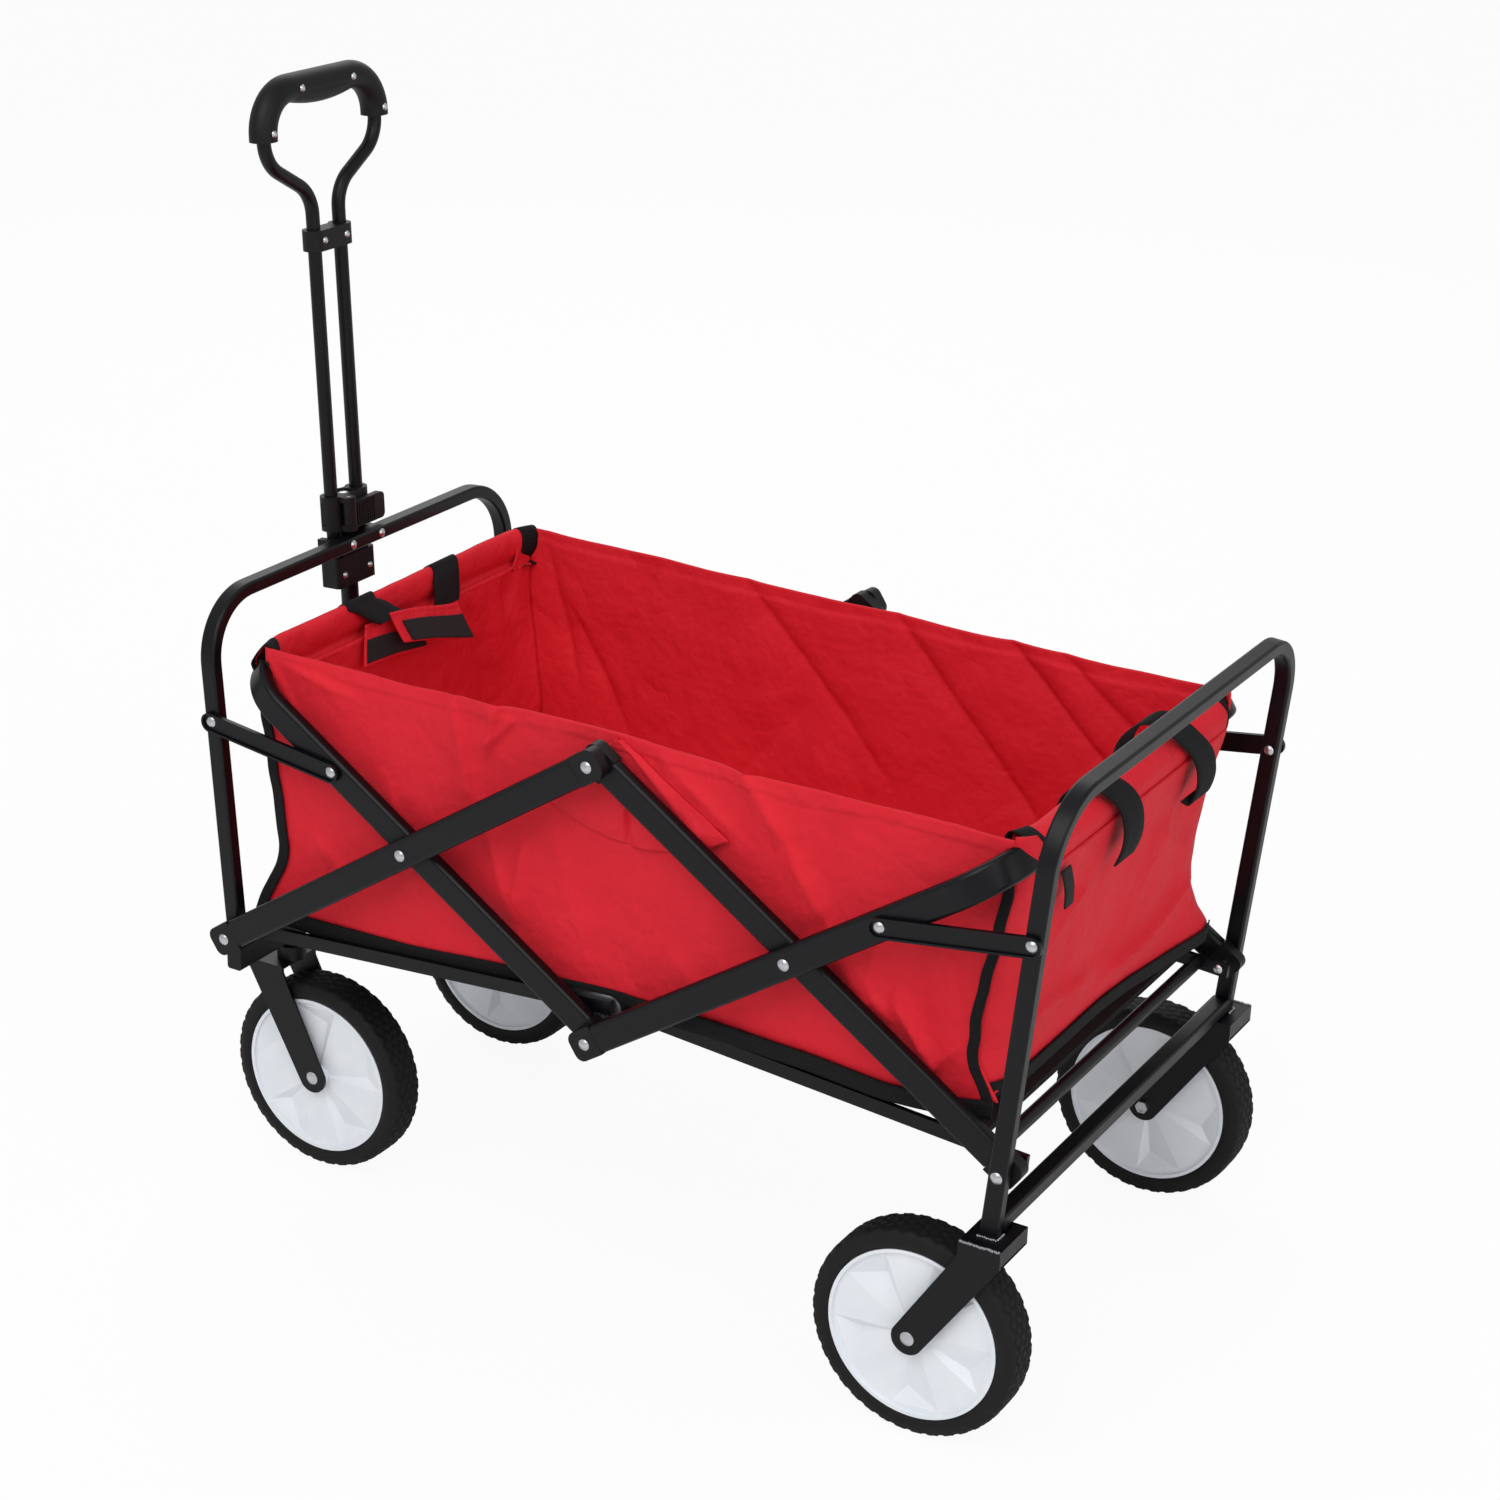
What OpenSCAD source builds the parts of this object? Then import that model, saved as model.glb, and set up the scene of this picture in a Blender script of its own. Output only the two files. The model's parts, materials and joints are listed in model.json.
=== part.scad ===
// Folding garden wagon: a double-scissor steel frame with a fabric basket,
// swivelling front wheels and a telescopic pull handle.
// X runs from the handle end (-X) to the push end (+X), Z is up, and the ground is Z = 0.

/* [Scissor frame] */
// Length of a scissor bar between its end pivots
bar_l = 447; // [380:1:520]
// Angle of the scissor bars above the horizontal when the wagon is open
open_angle = 33.7; // [28:0.1:40]
// Share of the bar between its lower pivot and its crossing pivot
cross_share = 0.511; // [0.5:0.001:0.52]
// Height of the lower bar pivots above the ground
pivot_z = 244.4; // [240:0.1:270]
// Height of the flat oval bar tube
bar_h = 25; // [22:0.5:28]
// Thickness of the flat oval bar tube
bar_t = 12; // [10:0.5:13]
// Corner radius of the bar tube
bar_r = 4; // [2:0.5:4.5]
// Wall of the bar tube
bar_wall = 1.2; // [0.8:0.1:1.6]
// Distance from the middle of the wagon to the outer face of the outer bars
side_y = 233; // [215:1:250]
// Gap between the outer and the inner bars
layer_gap = 1; // [0.6:0.1:2]
// Distance from a bar's pivot to the end of its plastic cap
cap_reach = 13; // [11:0.5:15]
// Distance from a bar's pivot to the seam between cap and tube
cap_seam = 13; // [10:0.5:15]
// Length of the cap's plug inside the tube
cap_plug = 14; // [8:1:20]
// Distance of the rim tubes inside the frame's lower pivots
rim_in = 14.2; // [12:0.1:20]
// Bend radius of the rim bars, at their centre line
rim_bend = 45; // [35:1:55]

/* [Rivets] */
// Shank radius of the frame rivets
rivet_r = 3; // [2.5:0.1:3.5]
// Head radius of the frame rivets
rivet_head_r = 5; // [4.5:0.1:6]
// Head height of the frame rivets
rivet_head_h = 2; // [1.5:0.1:2.5]
// Running clearance of round fits
fit = 0.05; // [0.02:0.01:0.09]
// Clearance between pieces that only lie near each other
seat = 0.3; // [0.2:0.05:0.4]

/* [Hoops] */
// Depth of the hoop tube along the wagon
hoop_d = 15; // [12:0.5:18]
// Width of the hoop tube across the wagon
hoop_w = 12; // [10:0.5:13]
// Corner radius of the hoop tube
hoop_r = 2.5; // [1.5:0.5:4]
// Wall of the hoop tube
hoop_wall = 1.2; // [0.8:0.1:1.6]
// Outward lean of the front hoop
front_lean = 4; // [2:0.1:5]
// Outward lean of the rear hoop
rear_lean = 5; // [2:0.1:7]
// Height of the front hoop's top bar above its pivot, along the leg
front_hoop_h = 298; // [285:1:310]
// Height of the rear hoop's top bar above its pivot, along the leg
rear_hoop_h = 308; // [285:1:330]
// Bend radius of the hoops, at their centre line
hoop_bend = 54; // [40:1:70]
// Height of the front crossbar
front_bar_h = 22.5; // [20:0.5:24]
// Drop of the front crossbar's top below the lower pivots
front_bar_drop = 11.4; // [11:0.1:14]
// Height of the rear crossbar
rear_bar_h = 13; // [10:1:16]

/* [Links] */
// Distance of the front link's pivot above the frame pivot, along the leg
front_link_z = 196; // [185:1:205]
// Distance of the front link's end beyond the bar crossing
front_link_s = 93.5; // [85:0.5:100]
// Distance of the rear link's pivot above the frame pivot, along the leg
rear_link_z = 199.5; // [185:1:205]
// Distance of the rear link's end beyond the bar crossing
rear_link_s = 98; // [85:0.5:100]
// Width of the pressed links
link_w = 17; // [14:0.5:20]
// Height of the pressed links' rim
link_t = 4; // [3:0.5:5]
// Thickness of the pressed links' sheet
link_sheet = 1.8; // [1.2:0.1:2.2]

/* [Wheels] */
// Radius of the tyres
tyre_r = 90; // [80:1:100]
// Radius of the white wheel disc
disc_r = 73.5; // [60:0.5:80]
// Width of the tyres
tyre_w = 38; // [32:1:44]
// Height of the tread above the step in the side walls
tread_h = 6; // [4:0.5:8]
// Radius of the tread's round shoulders
shoulder = 4; // [2:0.5:5]
// Recess of the tyre's bead beside the disc's rim
bead = 3; // [2:0.5:4]
// Width of the wheel disc across its petals
disc_w = 29; // [24:1:34]
// Depth of the disc's face below its rim ring
dish = 3; // [2:0.5:5]
// Width of the disc's rim ring
ring_w = 3; // [2:0.5:4]
// Number of raised petals on each side of a disc
petals = 5; // [4:1:7]
// Share of a petal and its pocket that the pocket takes
pocket_share = 0.5; // [0.4:0.02:0.6]
// Slope of a pocket's long side
pocket_tilt = 14; // [8:0.5:16]
// Slope of a pocket's short side
pocket_drop = 38; // [30:1:45]
// Slope of a pocket's outer end
pocket_end = 22; // [16:1:30]
// Radius of the axle bolts
axle_r = 4; // [3.5:0.1:5]
// Radius of the axle bolt heads
axle_head_r = 6; // [5:0.5:8]
// Side clearance between tyre and fork
fork_gap = 2.5; // [1.5:0.1:4]
// Thickness of the fork plates
fork_t = 2.5; // [2:0.1:4]
// Width of the fork plates at the hub
fork_w = 28; // [24:1:34]
// Distance from the rear pivot forward to the rear axle
rear_axle_in = 60.4; // [55:0.1:75]
// Width of the rear saddles along the wagon
saddle_l = 36; // [32:1:44]
// Height of the rear saddles' top above the ground
saddle_z = 191; // [188:1:195]
// Depth of the saddles' folded lip
saddle_lip = 13; // [8:1:15]
// Depth of the rear fork plates' straight front edge
fork_edge = 15; // [12:1:20]
// Distance of the front wheels from the middle of the wagon
caster_y = 141; // [120:1:150]
// Trail of the front wheels behind their swivel axis
caster_trail = 37.6; // [25:0.1:45]
// Height of the caster crown's top above the ground
crown_z = 192; // [188:1:196]
// Length of the caster crown along the wagon
crown_l = 38; // [34:1:42]
// Distance of the crown's middle ahead of its swivel axis
crown_ahead = 11; // [8:1:12]
// Depth of the caster forks' straight edges below the crown
crown_edge = 6; // [4:1:10]
// Radius of the caster stem
stem_r = 5; // [4:0.5:6]
// Radius of the caster bearing cup
cup_r = 13; // [11:0.5:15]

/* [Floor] */
// Angle of the floor frames when the wagon is open
floor_angle = 4.3; // [3:0.1:6]
// Height of the floor frames' side bars
floor_bar_h = 12; // [10:0.5:14]
// Thickness of the floor frames' side bars
floor_bar_t = 5; // [4:0.5:6]
// Radius of the floor frames' cross tubes
cross_tube_r = 6; // [5:0.5:6]
// Distance of the outer cross tubes from the floor pivot
cross_tube_a = 20; // [18:1:40]
// Distance of the inner cross tubes from the middle hinge
cross_tube_b = 73; // [60:1:110]
// Distance of a floor board's end from the middle hinge
board_end = 51; // [46:1:80]
// Distance from the floor pivot to the start of a floor board
board_start = 30; // [28:1:40]
// Half width of the floor boards
board_y = 188; // [170:1:189]
// Thickness of the floor boards
board_t = 6; // [4:0.5:7]
// Thickness of the zinc hinge plates
plate_t = 1.2; // [0.8:0.1:1.4]
// Length of the zinc hinge plates between their round ends
plate_l = 30; // [24:1:34]
// Width of the zinc hinge plates
plate_w = 24; // [20:1:26]

/* [Basket] */
// Half width of the basket
basket_y = 195; // [185:1:196]
// Distance of the basket's end walls inside the rim tubes
basket_in = 8.7; // [6:0.1:12]
// Height of the basket's rim above the ground
basket_top = 507; // [480:1:512]
// Thickness of the basket's fabric walls
cloth_t = 2.5; // [1.5:0.1:3]
// Half length of the rim sleeves
sleeve_y = 160; // [120:1:165]
// Width of the turned-in seam along the basket floor's ends
seam_w = 4; // [2:0.5:6]

/* [Handle] */
// Height of the handle pivot above the ground
handle_z = 221; // [218:1:224]
// Distance from the front crossbar's face to the handle pivot
handle_out = 14.5; // [14:0.1:18]
// Forward lean of the parked handle
handle_lean = 2.8; // [2.4:0.1:3.4]
// Outer radius of the handle post
post_r = 8; // [7:0.5:8.5]
// Wall of the handle post
post_wall = 1.5; // [1:0.1:2]
// Outer radius of the sliding handle tubes
rod_r = 6; // [5:0.5:6.5]
// Wall of the sliding handle tubes
rod_wall = 1.2; // [0.8:0.1:1.6]
// Half spacing of the sliding handle tubes
rod_y = 18; // [16.5:0.5:20]
// Distance from the front hoop's top bar up to the lock block
lock_over = 9.5; // [9:0.5:20]
// Height of the lock block
lock_h = 31; // [28:1:38]
// Thickness of the lock block's two lugs
lug_t = 5; // [4:0.5:6]
// Distance from the front hoop's top bar down to the slide block
slide_under = 9; // [8.5:0.5:14]
// Height of the slide block's body
slide_h = 28; // [24:1:34]
// Height of the slide block's neck
neck_h = 6; // [3:0.5:8]
// Depth of the slide block
slide_d = 21; // [19:0.5:22]
// Distance from the handle pivot to the middle of the collar
collar_s = 589; // [570:1:600]
// Height of the collar
collar_h = 18; // [14:1:22]
// Half width of the handle loop at the grip
loop_y = 76; // [70:1:85]
// Bend radius of the loop's lower bends
loop_bend = 32; // [28:1:36]
// Angle of the loop's lower bends
loop_angle = 60; // [55:1:65]
// Bend radius of the loop's upper corners
grip_bend = 35; // [32:1:40]
// Distance from the handle pivot to the middle of the grip bar
grip_s = 721; // [712:1:740]
// Radius of the grip
grip_r = 12; // [10:0.5:14]
// Depth of the palm swell under the grip
swell = 5; // [3:0.5:7]
// Length of the grip's legs below the corners
grip_leg = 4; // [2:1:8]

/* [Lock lever] */
// Distance of the lever's pin in front of the handle post
lever_x = 16; // [15:0.5:18]
// Distance of the lever's pin to the left of the handle post
lever_y = 13; // [10:0.5:14]
// Radius of the lever's barrel
lever_r = 6; // [5:0.5:7]
// Radius of the lever's pin
pin_r = 2; // [1.5:0.1:2.5]
// Reach of the lever's wing from its pin
lever_wing = 50; // [40:1:56]
// Height of the lever's wing
wing_h = 24; // [20:1:26]
// Thickness of the lever's wing
wing_t = 6; // [5:0.5:8]
// Number of ribs on the wing
ribs = 9; // [5:1:11]

/* [Hidden] */
$fn = 64;

// half distance between the front and the rear lower pivots
base_x = bar_l * cos(open_angle);
// reach of the rim bars from the middle lower pivot
rim_reach = (base_x - rim_in) / cos(open_angle);
basket_x = base_x - rim_in - basket_in;
top_z = pivot_z + bar_l * sin(open_angle);
cross_x = -base_x + cross_share * base_x;
cross_z = pivot_z + cross_share * bar_l * sin(open_angle);
low_z = pivot_z + (2 * cross_share - 1) * bar_l * sin(open_angle);
inner_share = (1 - cross_share) * bar_l;
// middle planes of the outer and the inner bars
outer_y = side_y - bar_t / 2;
inner_y = outer_y - bar_t - layer_gap;
inner_face = inner_y - bar_t / 2;
// front legs stand in the inner plane and rear legs in the outer plane
leg_x = base_x;
rear_axle_x = base_x - rear_axle_in;
front_axle_x = -base_x + caster_trail;
rear_wheel_y = outer_y - 3;
fork_out = tyre_w / 2 + fork_gap + fork_t;
fork_in = tyre_w / 2 + fork_gap;
front_bar_top = pivot_z - front_bar_drop;
front_bar_z = front_bar_top - front_bar_h;
floor_front_y = inner_face - rivet_head_h - seat - floor_bar_t / 2;
floor_rear_y = floor_front_y - floor_bar_t - plate_t - seat;
floor_l = base_x / cos(floor_angle);
board_top = floor_bar_h / 2 + seat + board_t;
handle_x = -base_x - hoop_d / 2 - handle_out;
// places along the handle: the front hoop's top bar, the lock block above it, the slide block below it
hoop_s = (pivot_z + front_hoop_h * cos(front_lean) - handle_z) / cos(handle_lean);
lock_s = hoop_s + lock_over;
// the post ends inside the lock block, so its cap stays under the block's top and clear of the collar
post_top = lock_s + lock_h - rivet_head_h - 3 * seat;
slide_s = hoop_s - slide_under - neck_h - slide_h;
slide_screw_s = slide_s + slide_h / 2 - 2.5;
loop_run = (loop_y - rod_y - 2 * loop_bend * (1 - cos(loop_angle))) / sin(loop_angle);
loop_start = grip_s - grip_bend - grip_leg - loop_bend * 2 * sin(loop_angle)
  - loop_run * cos(loop_angle) - 1;
clip_w = 7;
clip_deep = 17;
clip_t = 0.95;
screw_r = 1.5;
rib_r = 1.1;
rib_step = 3;
collar_screw_y = 15;
// start of the sliding tubes and height of the screws in the slide block
rod_end = 5;
hair = 0.02;
lap = 0.3;
steel = [0.12, 0.12, 0.13];
plastic = [0.08, 0.08, 0.085];
zinc = [0.75, 0.76, 0.78];
white = [0.93, 0.94, 0.95];
rubber = [0.1, 0.1, 0.1];
cloth = [0.82, 0.16, 0.2];
timber = [0.2, 0.18, 0.17];

// the origin lies under the middle of the whole wagon's box
back_x = leg_x + (hoop_d / 2 - hoop_r) * cos(rear_lean)
  + (rear_hoop_h + hoop_w / 2 - hoop_r) * sin(rear_lean) + hoop_r;
front_x = handle_x - grip_s * sin(handle_lean) - grip_r;
mid_x = (back_x + front_x) / 2;

module wagon() { translate([-mid_x, 0, 0]) children(); }
module both_sides() { children(); mirror([0, 1, 0]) children(); }
// side is -1 for the left of the wagon and 1 for the right
module on_side(side) { mirror([0, side < 0 ? 1 : 0, 0]) children(); }

// ---------- profiles ----------

module round_rect(w, h, r) {
  square([w - 2 * r, h], center = true);
  square([w, h - 2 * r], center = true);
  for (x = [-1, 1], y = [-1, 1]) translate([x * (w / 2 - r), y * (h / 2 - r)]) circle(r);
}

module box_tube(w, h, r, wall) {
  difference() {
    round_rect(w, h, r);
    round_rect(w - 2 * wall, h - 2 * wall, max(r - wall, 0.4));
  }
}

module stadium(l, w) {
  translate([0, -w / 2]) square([l, w]);
  circle(w / 2);
  translate([l, 0]) circle(w / 2);
}

// extrudes a profile along +X, with its own x across the wagon and its y upwards
module along_x(l) { rotate([90, 0, 90]) linear_extrude(l) children(); }
// extrudes a profile along +Y, centred, with its own y upwards
module along_y(l) { translate([0, l / 2, 0]) rotate([90, 0, 0]) linear_extrude(l) children(); }
// a round hole or pin along Y between two places
module cross_pin(r, y1, y2) { translate([0, y2, 0]) rotate([90, 0, 0]) cylinder(r = r, h = y2 - y1); }

// a rivet along +Y: its shank between two faces, and a domed head on each end
module rivet(y1, y2, r = rivet_r) {
  cross_pin(r, y1 - 0.01, y2 + 0.01);
  translate([0, y2, 0]) rotate([-90, 0, 0]) rivet_head(rivet_head_r);
  translate([0, y1, 0]) rotate([90, 0, 0]) rivet_head(rivet_head_r * 0.85);
}

module rivet_head(r) {
  ball = (r * r + rivet_head_h * rivet_head_h) / (2 * rivet_head_h);
  intersection() {
    translate([0, 0, rivet_head_h - ball]) sphere(ball);
    cylinder(r = r, h = rivet_head_h);
  }
}

// ---------- places ----------

module at(x, z, turn = 0) { translate([x, 0, z]) rotate([0, turn, 0]) children(); }
module at_front_arm() { at(-base_x, pivot_z, -open_angle) children(); }
module at_rear_arm() { at(0, top_z, open_angle) children(); }
module at_front_rim() { at(0, low_z, open_angle - 180) children(); }
module at_rear_rim() { at(0, low_z, -open_angle) children(); }
module at_front_hoop() { at(-base_x, pivot_z, -front_lean) children(); }
module at_rear_hoop() { at(base_x, pivot_z, rear_lean) children(); }
module at_floor_front() { at(-base_x, pivot_z, -floor_angle) children(); }
module at_floor_rear() { at(base_x, pivot_z, floor_angle - 180) mirror([0, 0, 1]) children(); }
module at_handle() { at(handle_x, handle_z, -handle_lean) children(); }
module at_cross_front() { at(cross_x, cross_z) children(); }
module at_cross_rear() { at(-cross_x, cross_z) children(); }

// ---------- hoops and crossbars ----------

module hoop(y, top, bottom) {
  for (side = [-1, 1]) on_side(side) {
    translate([0, y, bottom]) linear_extrude(top - hoop_bend - bottom)
      box_tube(hoop_d, hoop_w, hoop_r, hoop_wall);
    translate([0, y - hoop_bend, top - hoop_bend]) rotate([90, 0, 90]) rotate_extrude(angle = 90)
      translate([hoop_bend, 0]) box_tube(hoop_w, hoop_d, hoop_r, hoop_wall);
  }
  translate([0, 0, top]) along_y(2 * (y - hoop_bend)) box_tube(hoop_d, hoop_w, hoop_r, hoop_wall);
}

module front_hoop() {
  color(steel) wagon() difference() {
    at_front_hoop() hoop(inner_y, front_hoop_h, front_bar_z - pivot_z);
    translate([-base_x - hoop_d, -side_y, front_bar_z - hoop_d])
      cube([2 * hoop_d, 2 * side_y, front_bar_h + hoop_d]);
    both_sides() at(-base_x, pivot_z) cross_pin(rivet_r + fit, 0, side_y);
    both_sides() at_front_hoop() translate([0, 0, front_link_z]) cross_pin(rivet_r + fit, 0, side_y);
    clip_rivet_holes(rivet_r * 0.8 + fit);
  }
}

module front_crossbar() {
  color(steel) wagon() difference() {
    translate([-base_x, 0, front_bar_z + front_bar_h / 2]) difference() {
      along_y(2 * inner_y + bar_t) round_rect(hoop_d, front_bar_h, hoop_r);
      along_y(2 * inner_y + bar_t - 4 * hoop_wall)
        round_rect(hoop_d - 2 * hoop_wall, front_bar_h - 2 * hoop_wall, hoop_r - hoop_wall);
    }
    both_sides() translate([-base_x, caster_y, front_bar_z - 1]) cylinder(r = stem_r + fit, h = front_bar_h + 2);
  }
}

module caster_bearings() {
  color(steel) wagon() both_sides() translate([-base_x, caster_y, crown_z + seat]) difference() {
    union() {
      cylinder(r = cup_r, h = front_bar_z - crown_z - seat - 5);
      cylinder(r = cup_r - 4, h = front_bar_z - crown_z - seat);
    }
    translate([0, 0, -1]) cylinder(r = stem_r + fit, h = front_bar_h);
  }
}

module rear_hoop() {
  color(steel) wagon() difference() {
    at_rear_hoop() hoop(outer_y, rear_hoop_h, saddle_z - pivot_z - hoop_d);
    translate([base_x - 3 * hoop_d, -side_y - 1, saddle_z - 3 * hoop_d])
      cube([6 * hoop_d, 2 * side_y + 2, 3 * hoop_d]);
    both_sides() at(base_x, pivot_z) cross_pin(rivet_r + fit, 0, side_y + 1);
    both_sides() at_rear_hoop() translate([0, 0, rear_link_z]) cross_pin(rivet_r + fit, 0, side_y + 1);
  }
}

module rear_crossbar() {
  z = saddle_z + seat * 4 + rear_bar_h / 2;
  color(steel) wagon() translate([base_x - (pivot_z - z) * tan(rear_lean), 0, z])
    along_y(2 * outer_y - hoop_w) box_tube(hoop_d, rear_bar_h, hoop_r, hoop_wall);
}

// ---------- scissor bars ----------

module bar_hole(s) { translate([s, 0, 0]) cross_pin(rivet_r + fit, -bar_t, bar_t); }

module scissor_bar(holes) {
  difference() {
    translate([cap_seam, 0, 0]) along_x(bar_l - 2 * cap_seam) box_tube(bar_t, bar_h, bar_r, bar_wall);
    for (s = holes) bar_hole(s);
  }
}

// plastic end cap: its round nose holds the pivot, and its plug sits in the tube
module bar_cap() {
  nose = bar_h / 2;
  difference() {
    union() {
      along_y(bar_t) {
        translate([cap_seam - cap_reach / 2 - cap_seam / 2 - seat / 2, 0])
          round_rect(cap_reach + cap_seam - seat, bar_h + 1, nose * 0.62);
        translate([cap_seam - nose - seat, -(bar_h + 1) / 2]) square([nose, bar_h + 1]);
      }
      translate([cap_seam - 1, 0, 0]) along_x(cap_plug)
        round_rect(bar_t - 2 * bar_wall - 2 * fit, bar_h - 2 * bar_wall - 2 * fit, bar_r - bar_wall);
    }
    bar_hole(0);
  }
}

module front_arm(side) {
  color(steel) wagon() on_side(side) at_front_arm() translate([0, outer_y, 0])
    scissor_bar([cross_share * bar_l]);
}
module front_arm_left() { front_arm(-1); }
module front_arm_right() { front_arm(1); }

module front_arm_caps() {
  color(plastic) wagon() both_sides() at_front_arm() translate([0, outer_y, 0]) {
    bar_cap();
    translate([bar_l, 0, 0]) mirror([1, 0, 0]) bar_cap();
  }
}

module rear_arm(side) {
  color(steel) wagon() on_side(side) at_rear_arm() translate([0, inner_y, 0])
    scissor_bar([(1 - cross_share) * bar_l]);
}
module rear_arm_left() { rear_arm(-1); }
module rear_arm_right() { rear_arm(1); }

module rear_arm_caps() {
  color(plastic) wagon() both_sides() at_rear_arm() translate([0, inner_y, 0]) {
    bar_cap();
    translate([bar_l, 0, 0]) mirror([1, 0, 0]) bar_cap();
  }
}

// ---------- rim bars: two side bars and the rim tube between them, bent in one piece ----------

// grow widens the tube all round, for the sleeve and the fabric's clearance
module rim_profile(grow = 0) {
  if (grow == 0) box_tube(bar_t, bar_h, bar_r, bar_wall);
  else round_rect(bar_t + 2 * grow, bar_h + 2 * grow, bar_r + grow);
}

module rim_bow(y, grow = 0) {
  for (side = [-1, 1]) on_side(side) {
    translate([cap_seam, y, 0]) along_x(rim_reach - rim_bend - cap_seam) rim_profile(grow);
    translate([rim_reach - rim_bend, y - rim_bend, 0]) rotate_extrude(angle = 90)
      translate([rim_bend, 0]) rim_profile(grow);
  }
  translate([rim_reach, 0, 0]) along_y(2 * (y - rim_bend)) rim_profile(grow);
}

module front_rim_tube() {
  color(steel) wagon() difference() {
    at_front_rim() rim_bow(inner_y);
    both_sides() at_cross_front() cross_pin(rivet_r + fit, 0, side_y);
  }
}

module rear_rim_tube() {
  color(steel) wagon() difference() {
    at_rear_rim() rim_bow(outer_y);
    both_sides() at_cross_rear() cross_pin(rivet_r + fit, 0, side_y + 1);
  }
}

module front_rim_caps() {
  color(plastic) wagon() both_sides() at_front_rim() translate([0, inner_y, 0]) bar_cap();
}
module rear_rim_caps() {
  color(plastic) wagon() both_sides() at_rear_rim() translate([0, outer_y, 0]) bar_cap();
}

// ---------- rivets ----------

module front_arm_rivets() {
  color(zinc) wagon() both_sides() {
    at_cross_front() rivet(inner_face, side_y);
    at(0, top_z) rivet(inner_face, side_y);
  }
}

module rear_arm_rivets() { color(zinc) wagon() both_sides() at_cross_rear() rivet(inner_face, side_y); }

module centre_rivets() { color(zinc) wagon() both_sides() at(0, low_z) rivet(inner_face, side_y); }

module front_frame_rivets() {
  color(zinc) wagon() {
    both_sides() at(-base_x, pivot_z) rivet(floor_front_y - floor_bar_t / 2 - seat, side_y);
    at_front_hoop() translate([0, 0, front_hoop_h]) for (y = [-1, 1] * rod_y * 1.15) translate([hoop_d / 2, y, 0])
      rotate([0, 90, 0]) {
        rivet_head(rivet_head_r * 0.8);
        translate([0, 0, -hoop_d - 0.8]) cylinder(r = rivet_r * 0.8, h = hoop_d + 0.81);
      }
  }
}

module rear_frame_rivets() {
  color(zinc) wagon() both_sides() at(base_x, pivot_z) rivet(floor_rear_y - floor_bar_t / 2 - seat, side_y);
}

// ---------- links ----------

front_link_from = [-base_x - front_link_z * sin(front_lean), pivot_z + front_link_z * cos(front_lean)];
front_link_to = [cross_x - front_link_s * cos(open_angle), cross_z + front_link_s * sin(open_angle)];
rear_link_from = [base_x + rear_link_z * sin(rear_lean), pivot_z + rear_link_z * cos(rear_lean)];
rear_link_to = [-cross_x + rear_link_s * cos(open_angle), cross_z + rear_link_s * sin(open_angle)];

module between(a, b) { at(a[0], a[1], -atan2(b[1] - a[1], b[0] - a[0])) children(); }

// pressed channel with round ends: a sheet with a rim, its hollow side outwards
module link_channel(l, y) {
  translate([0, y, 0]) rotate([90, 0, 0]) mirror([0, 0, 1]) difference() {
    linear_extrude(link_t) stadium(l, link_w);
    translate([0, 0, link_sheet]) linear_extrude(link_t) stadium(l, link_w - 2 * link_sheet);
    for (x = [0, l]) translate([x, 0, -1]) cylinder(r = rivet_r + fit, h = link_t + 2);
  }
}

module front_link(side) {
  color(steel) wagon() on_side(side) between(front_link_from, front_link_to)
    link_channel(norm(front_link_to - front_link_from), inner_y + bar_t / 2 + seat);
}
module front_link_left() { front_link(-1); }
module front_link_right() { front_link(1); }

module rear_link(side) {
  color(steel) wagon() on_side(side) between(rear_link_from, rear_link_to)
    link_channel(norm(rear_link_to - rear_link_from), side_y + seat);
}
module rear_link_left() { rear_link(-1); }
module rear_link_right() { rear_link(1); }

// one rivet through link and leg, and one that is short of the bar it swings past
module link_rivets(from, to, y, depth) {
  at(from[0], from[1]) rivet(y - depth, y + link_sheet);
  at(to[0], to[1]) {
    cross_pin(rivet_r, y, y + link_sheet + 0.01);
    translate([0, y + link_sheet, 0]) rotate([-90, 0, 0]) rivet_head(rivet_head_r);
  }
}

module front_link_rivets() {
  color(zinc) wagon() both_sides()
    link_rivets(front_link_from, front_link_to, inner_y + bar_t / 2 + seat, hoop_w + seat);
}
module rear_link_rivets() {
  color(zinc) wagon() both_sides()
    link_rivets(rear_link_from, rear_link_to, side_y + seat, hoop_w + seat);
}

// ---------- wheels ----------

// everything above a plane through the X axis that falls towards +Y
module above_slope(tilt, size) {
  rotate([-tilt, 0, 0]) translate([-size, -size, 0]) cube(2 * size);
}

// a pocket between two petals: a short slope, a long one, and an end that climbs to the rim
module pocket(reach, hub_r) {
  turn = pocket_share * 360 / petals;
  difference() {
    intersection() {
      above_slope(pocket_drop, 2 * reach);
      rotate([0, 0, turn]) above_slope(-pocket_tilt, 2 * reach);
      rotate([0, 0, turn / 2]) translate([reach * cos(turn / 2), 0, 0]) rotate([0, 0, 90])
        above_slope(pocket_end, 2 * reach);
      translate([0, 0, -disc_w / 2]) cylinder(r = reach + 1, h = disc_w);
    }
    translate([0, 0, -disc_w]) cylinder(r = hub_r, h = 2 * disc_w);
  }
}

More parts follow.
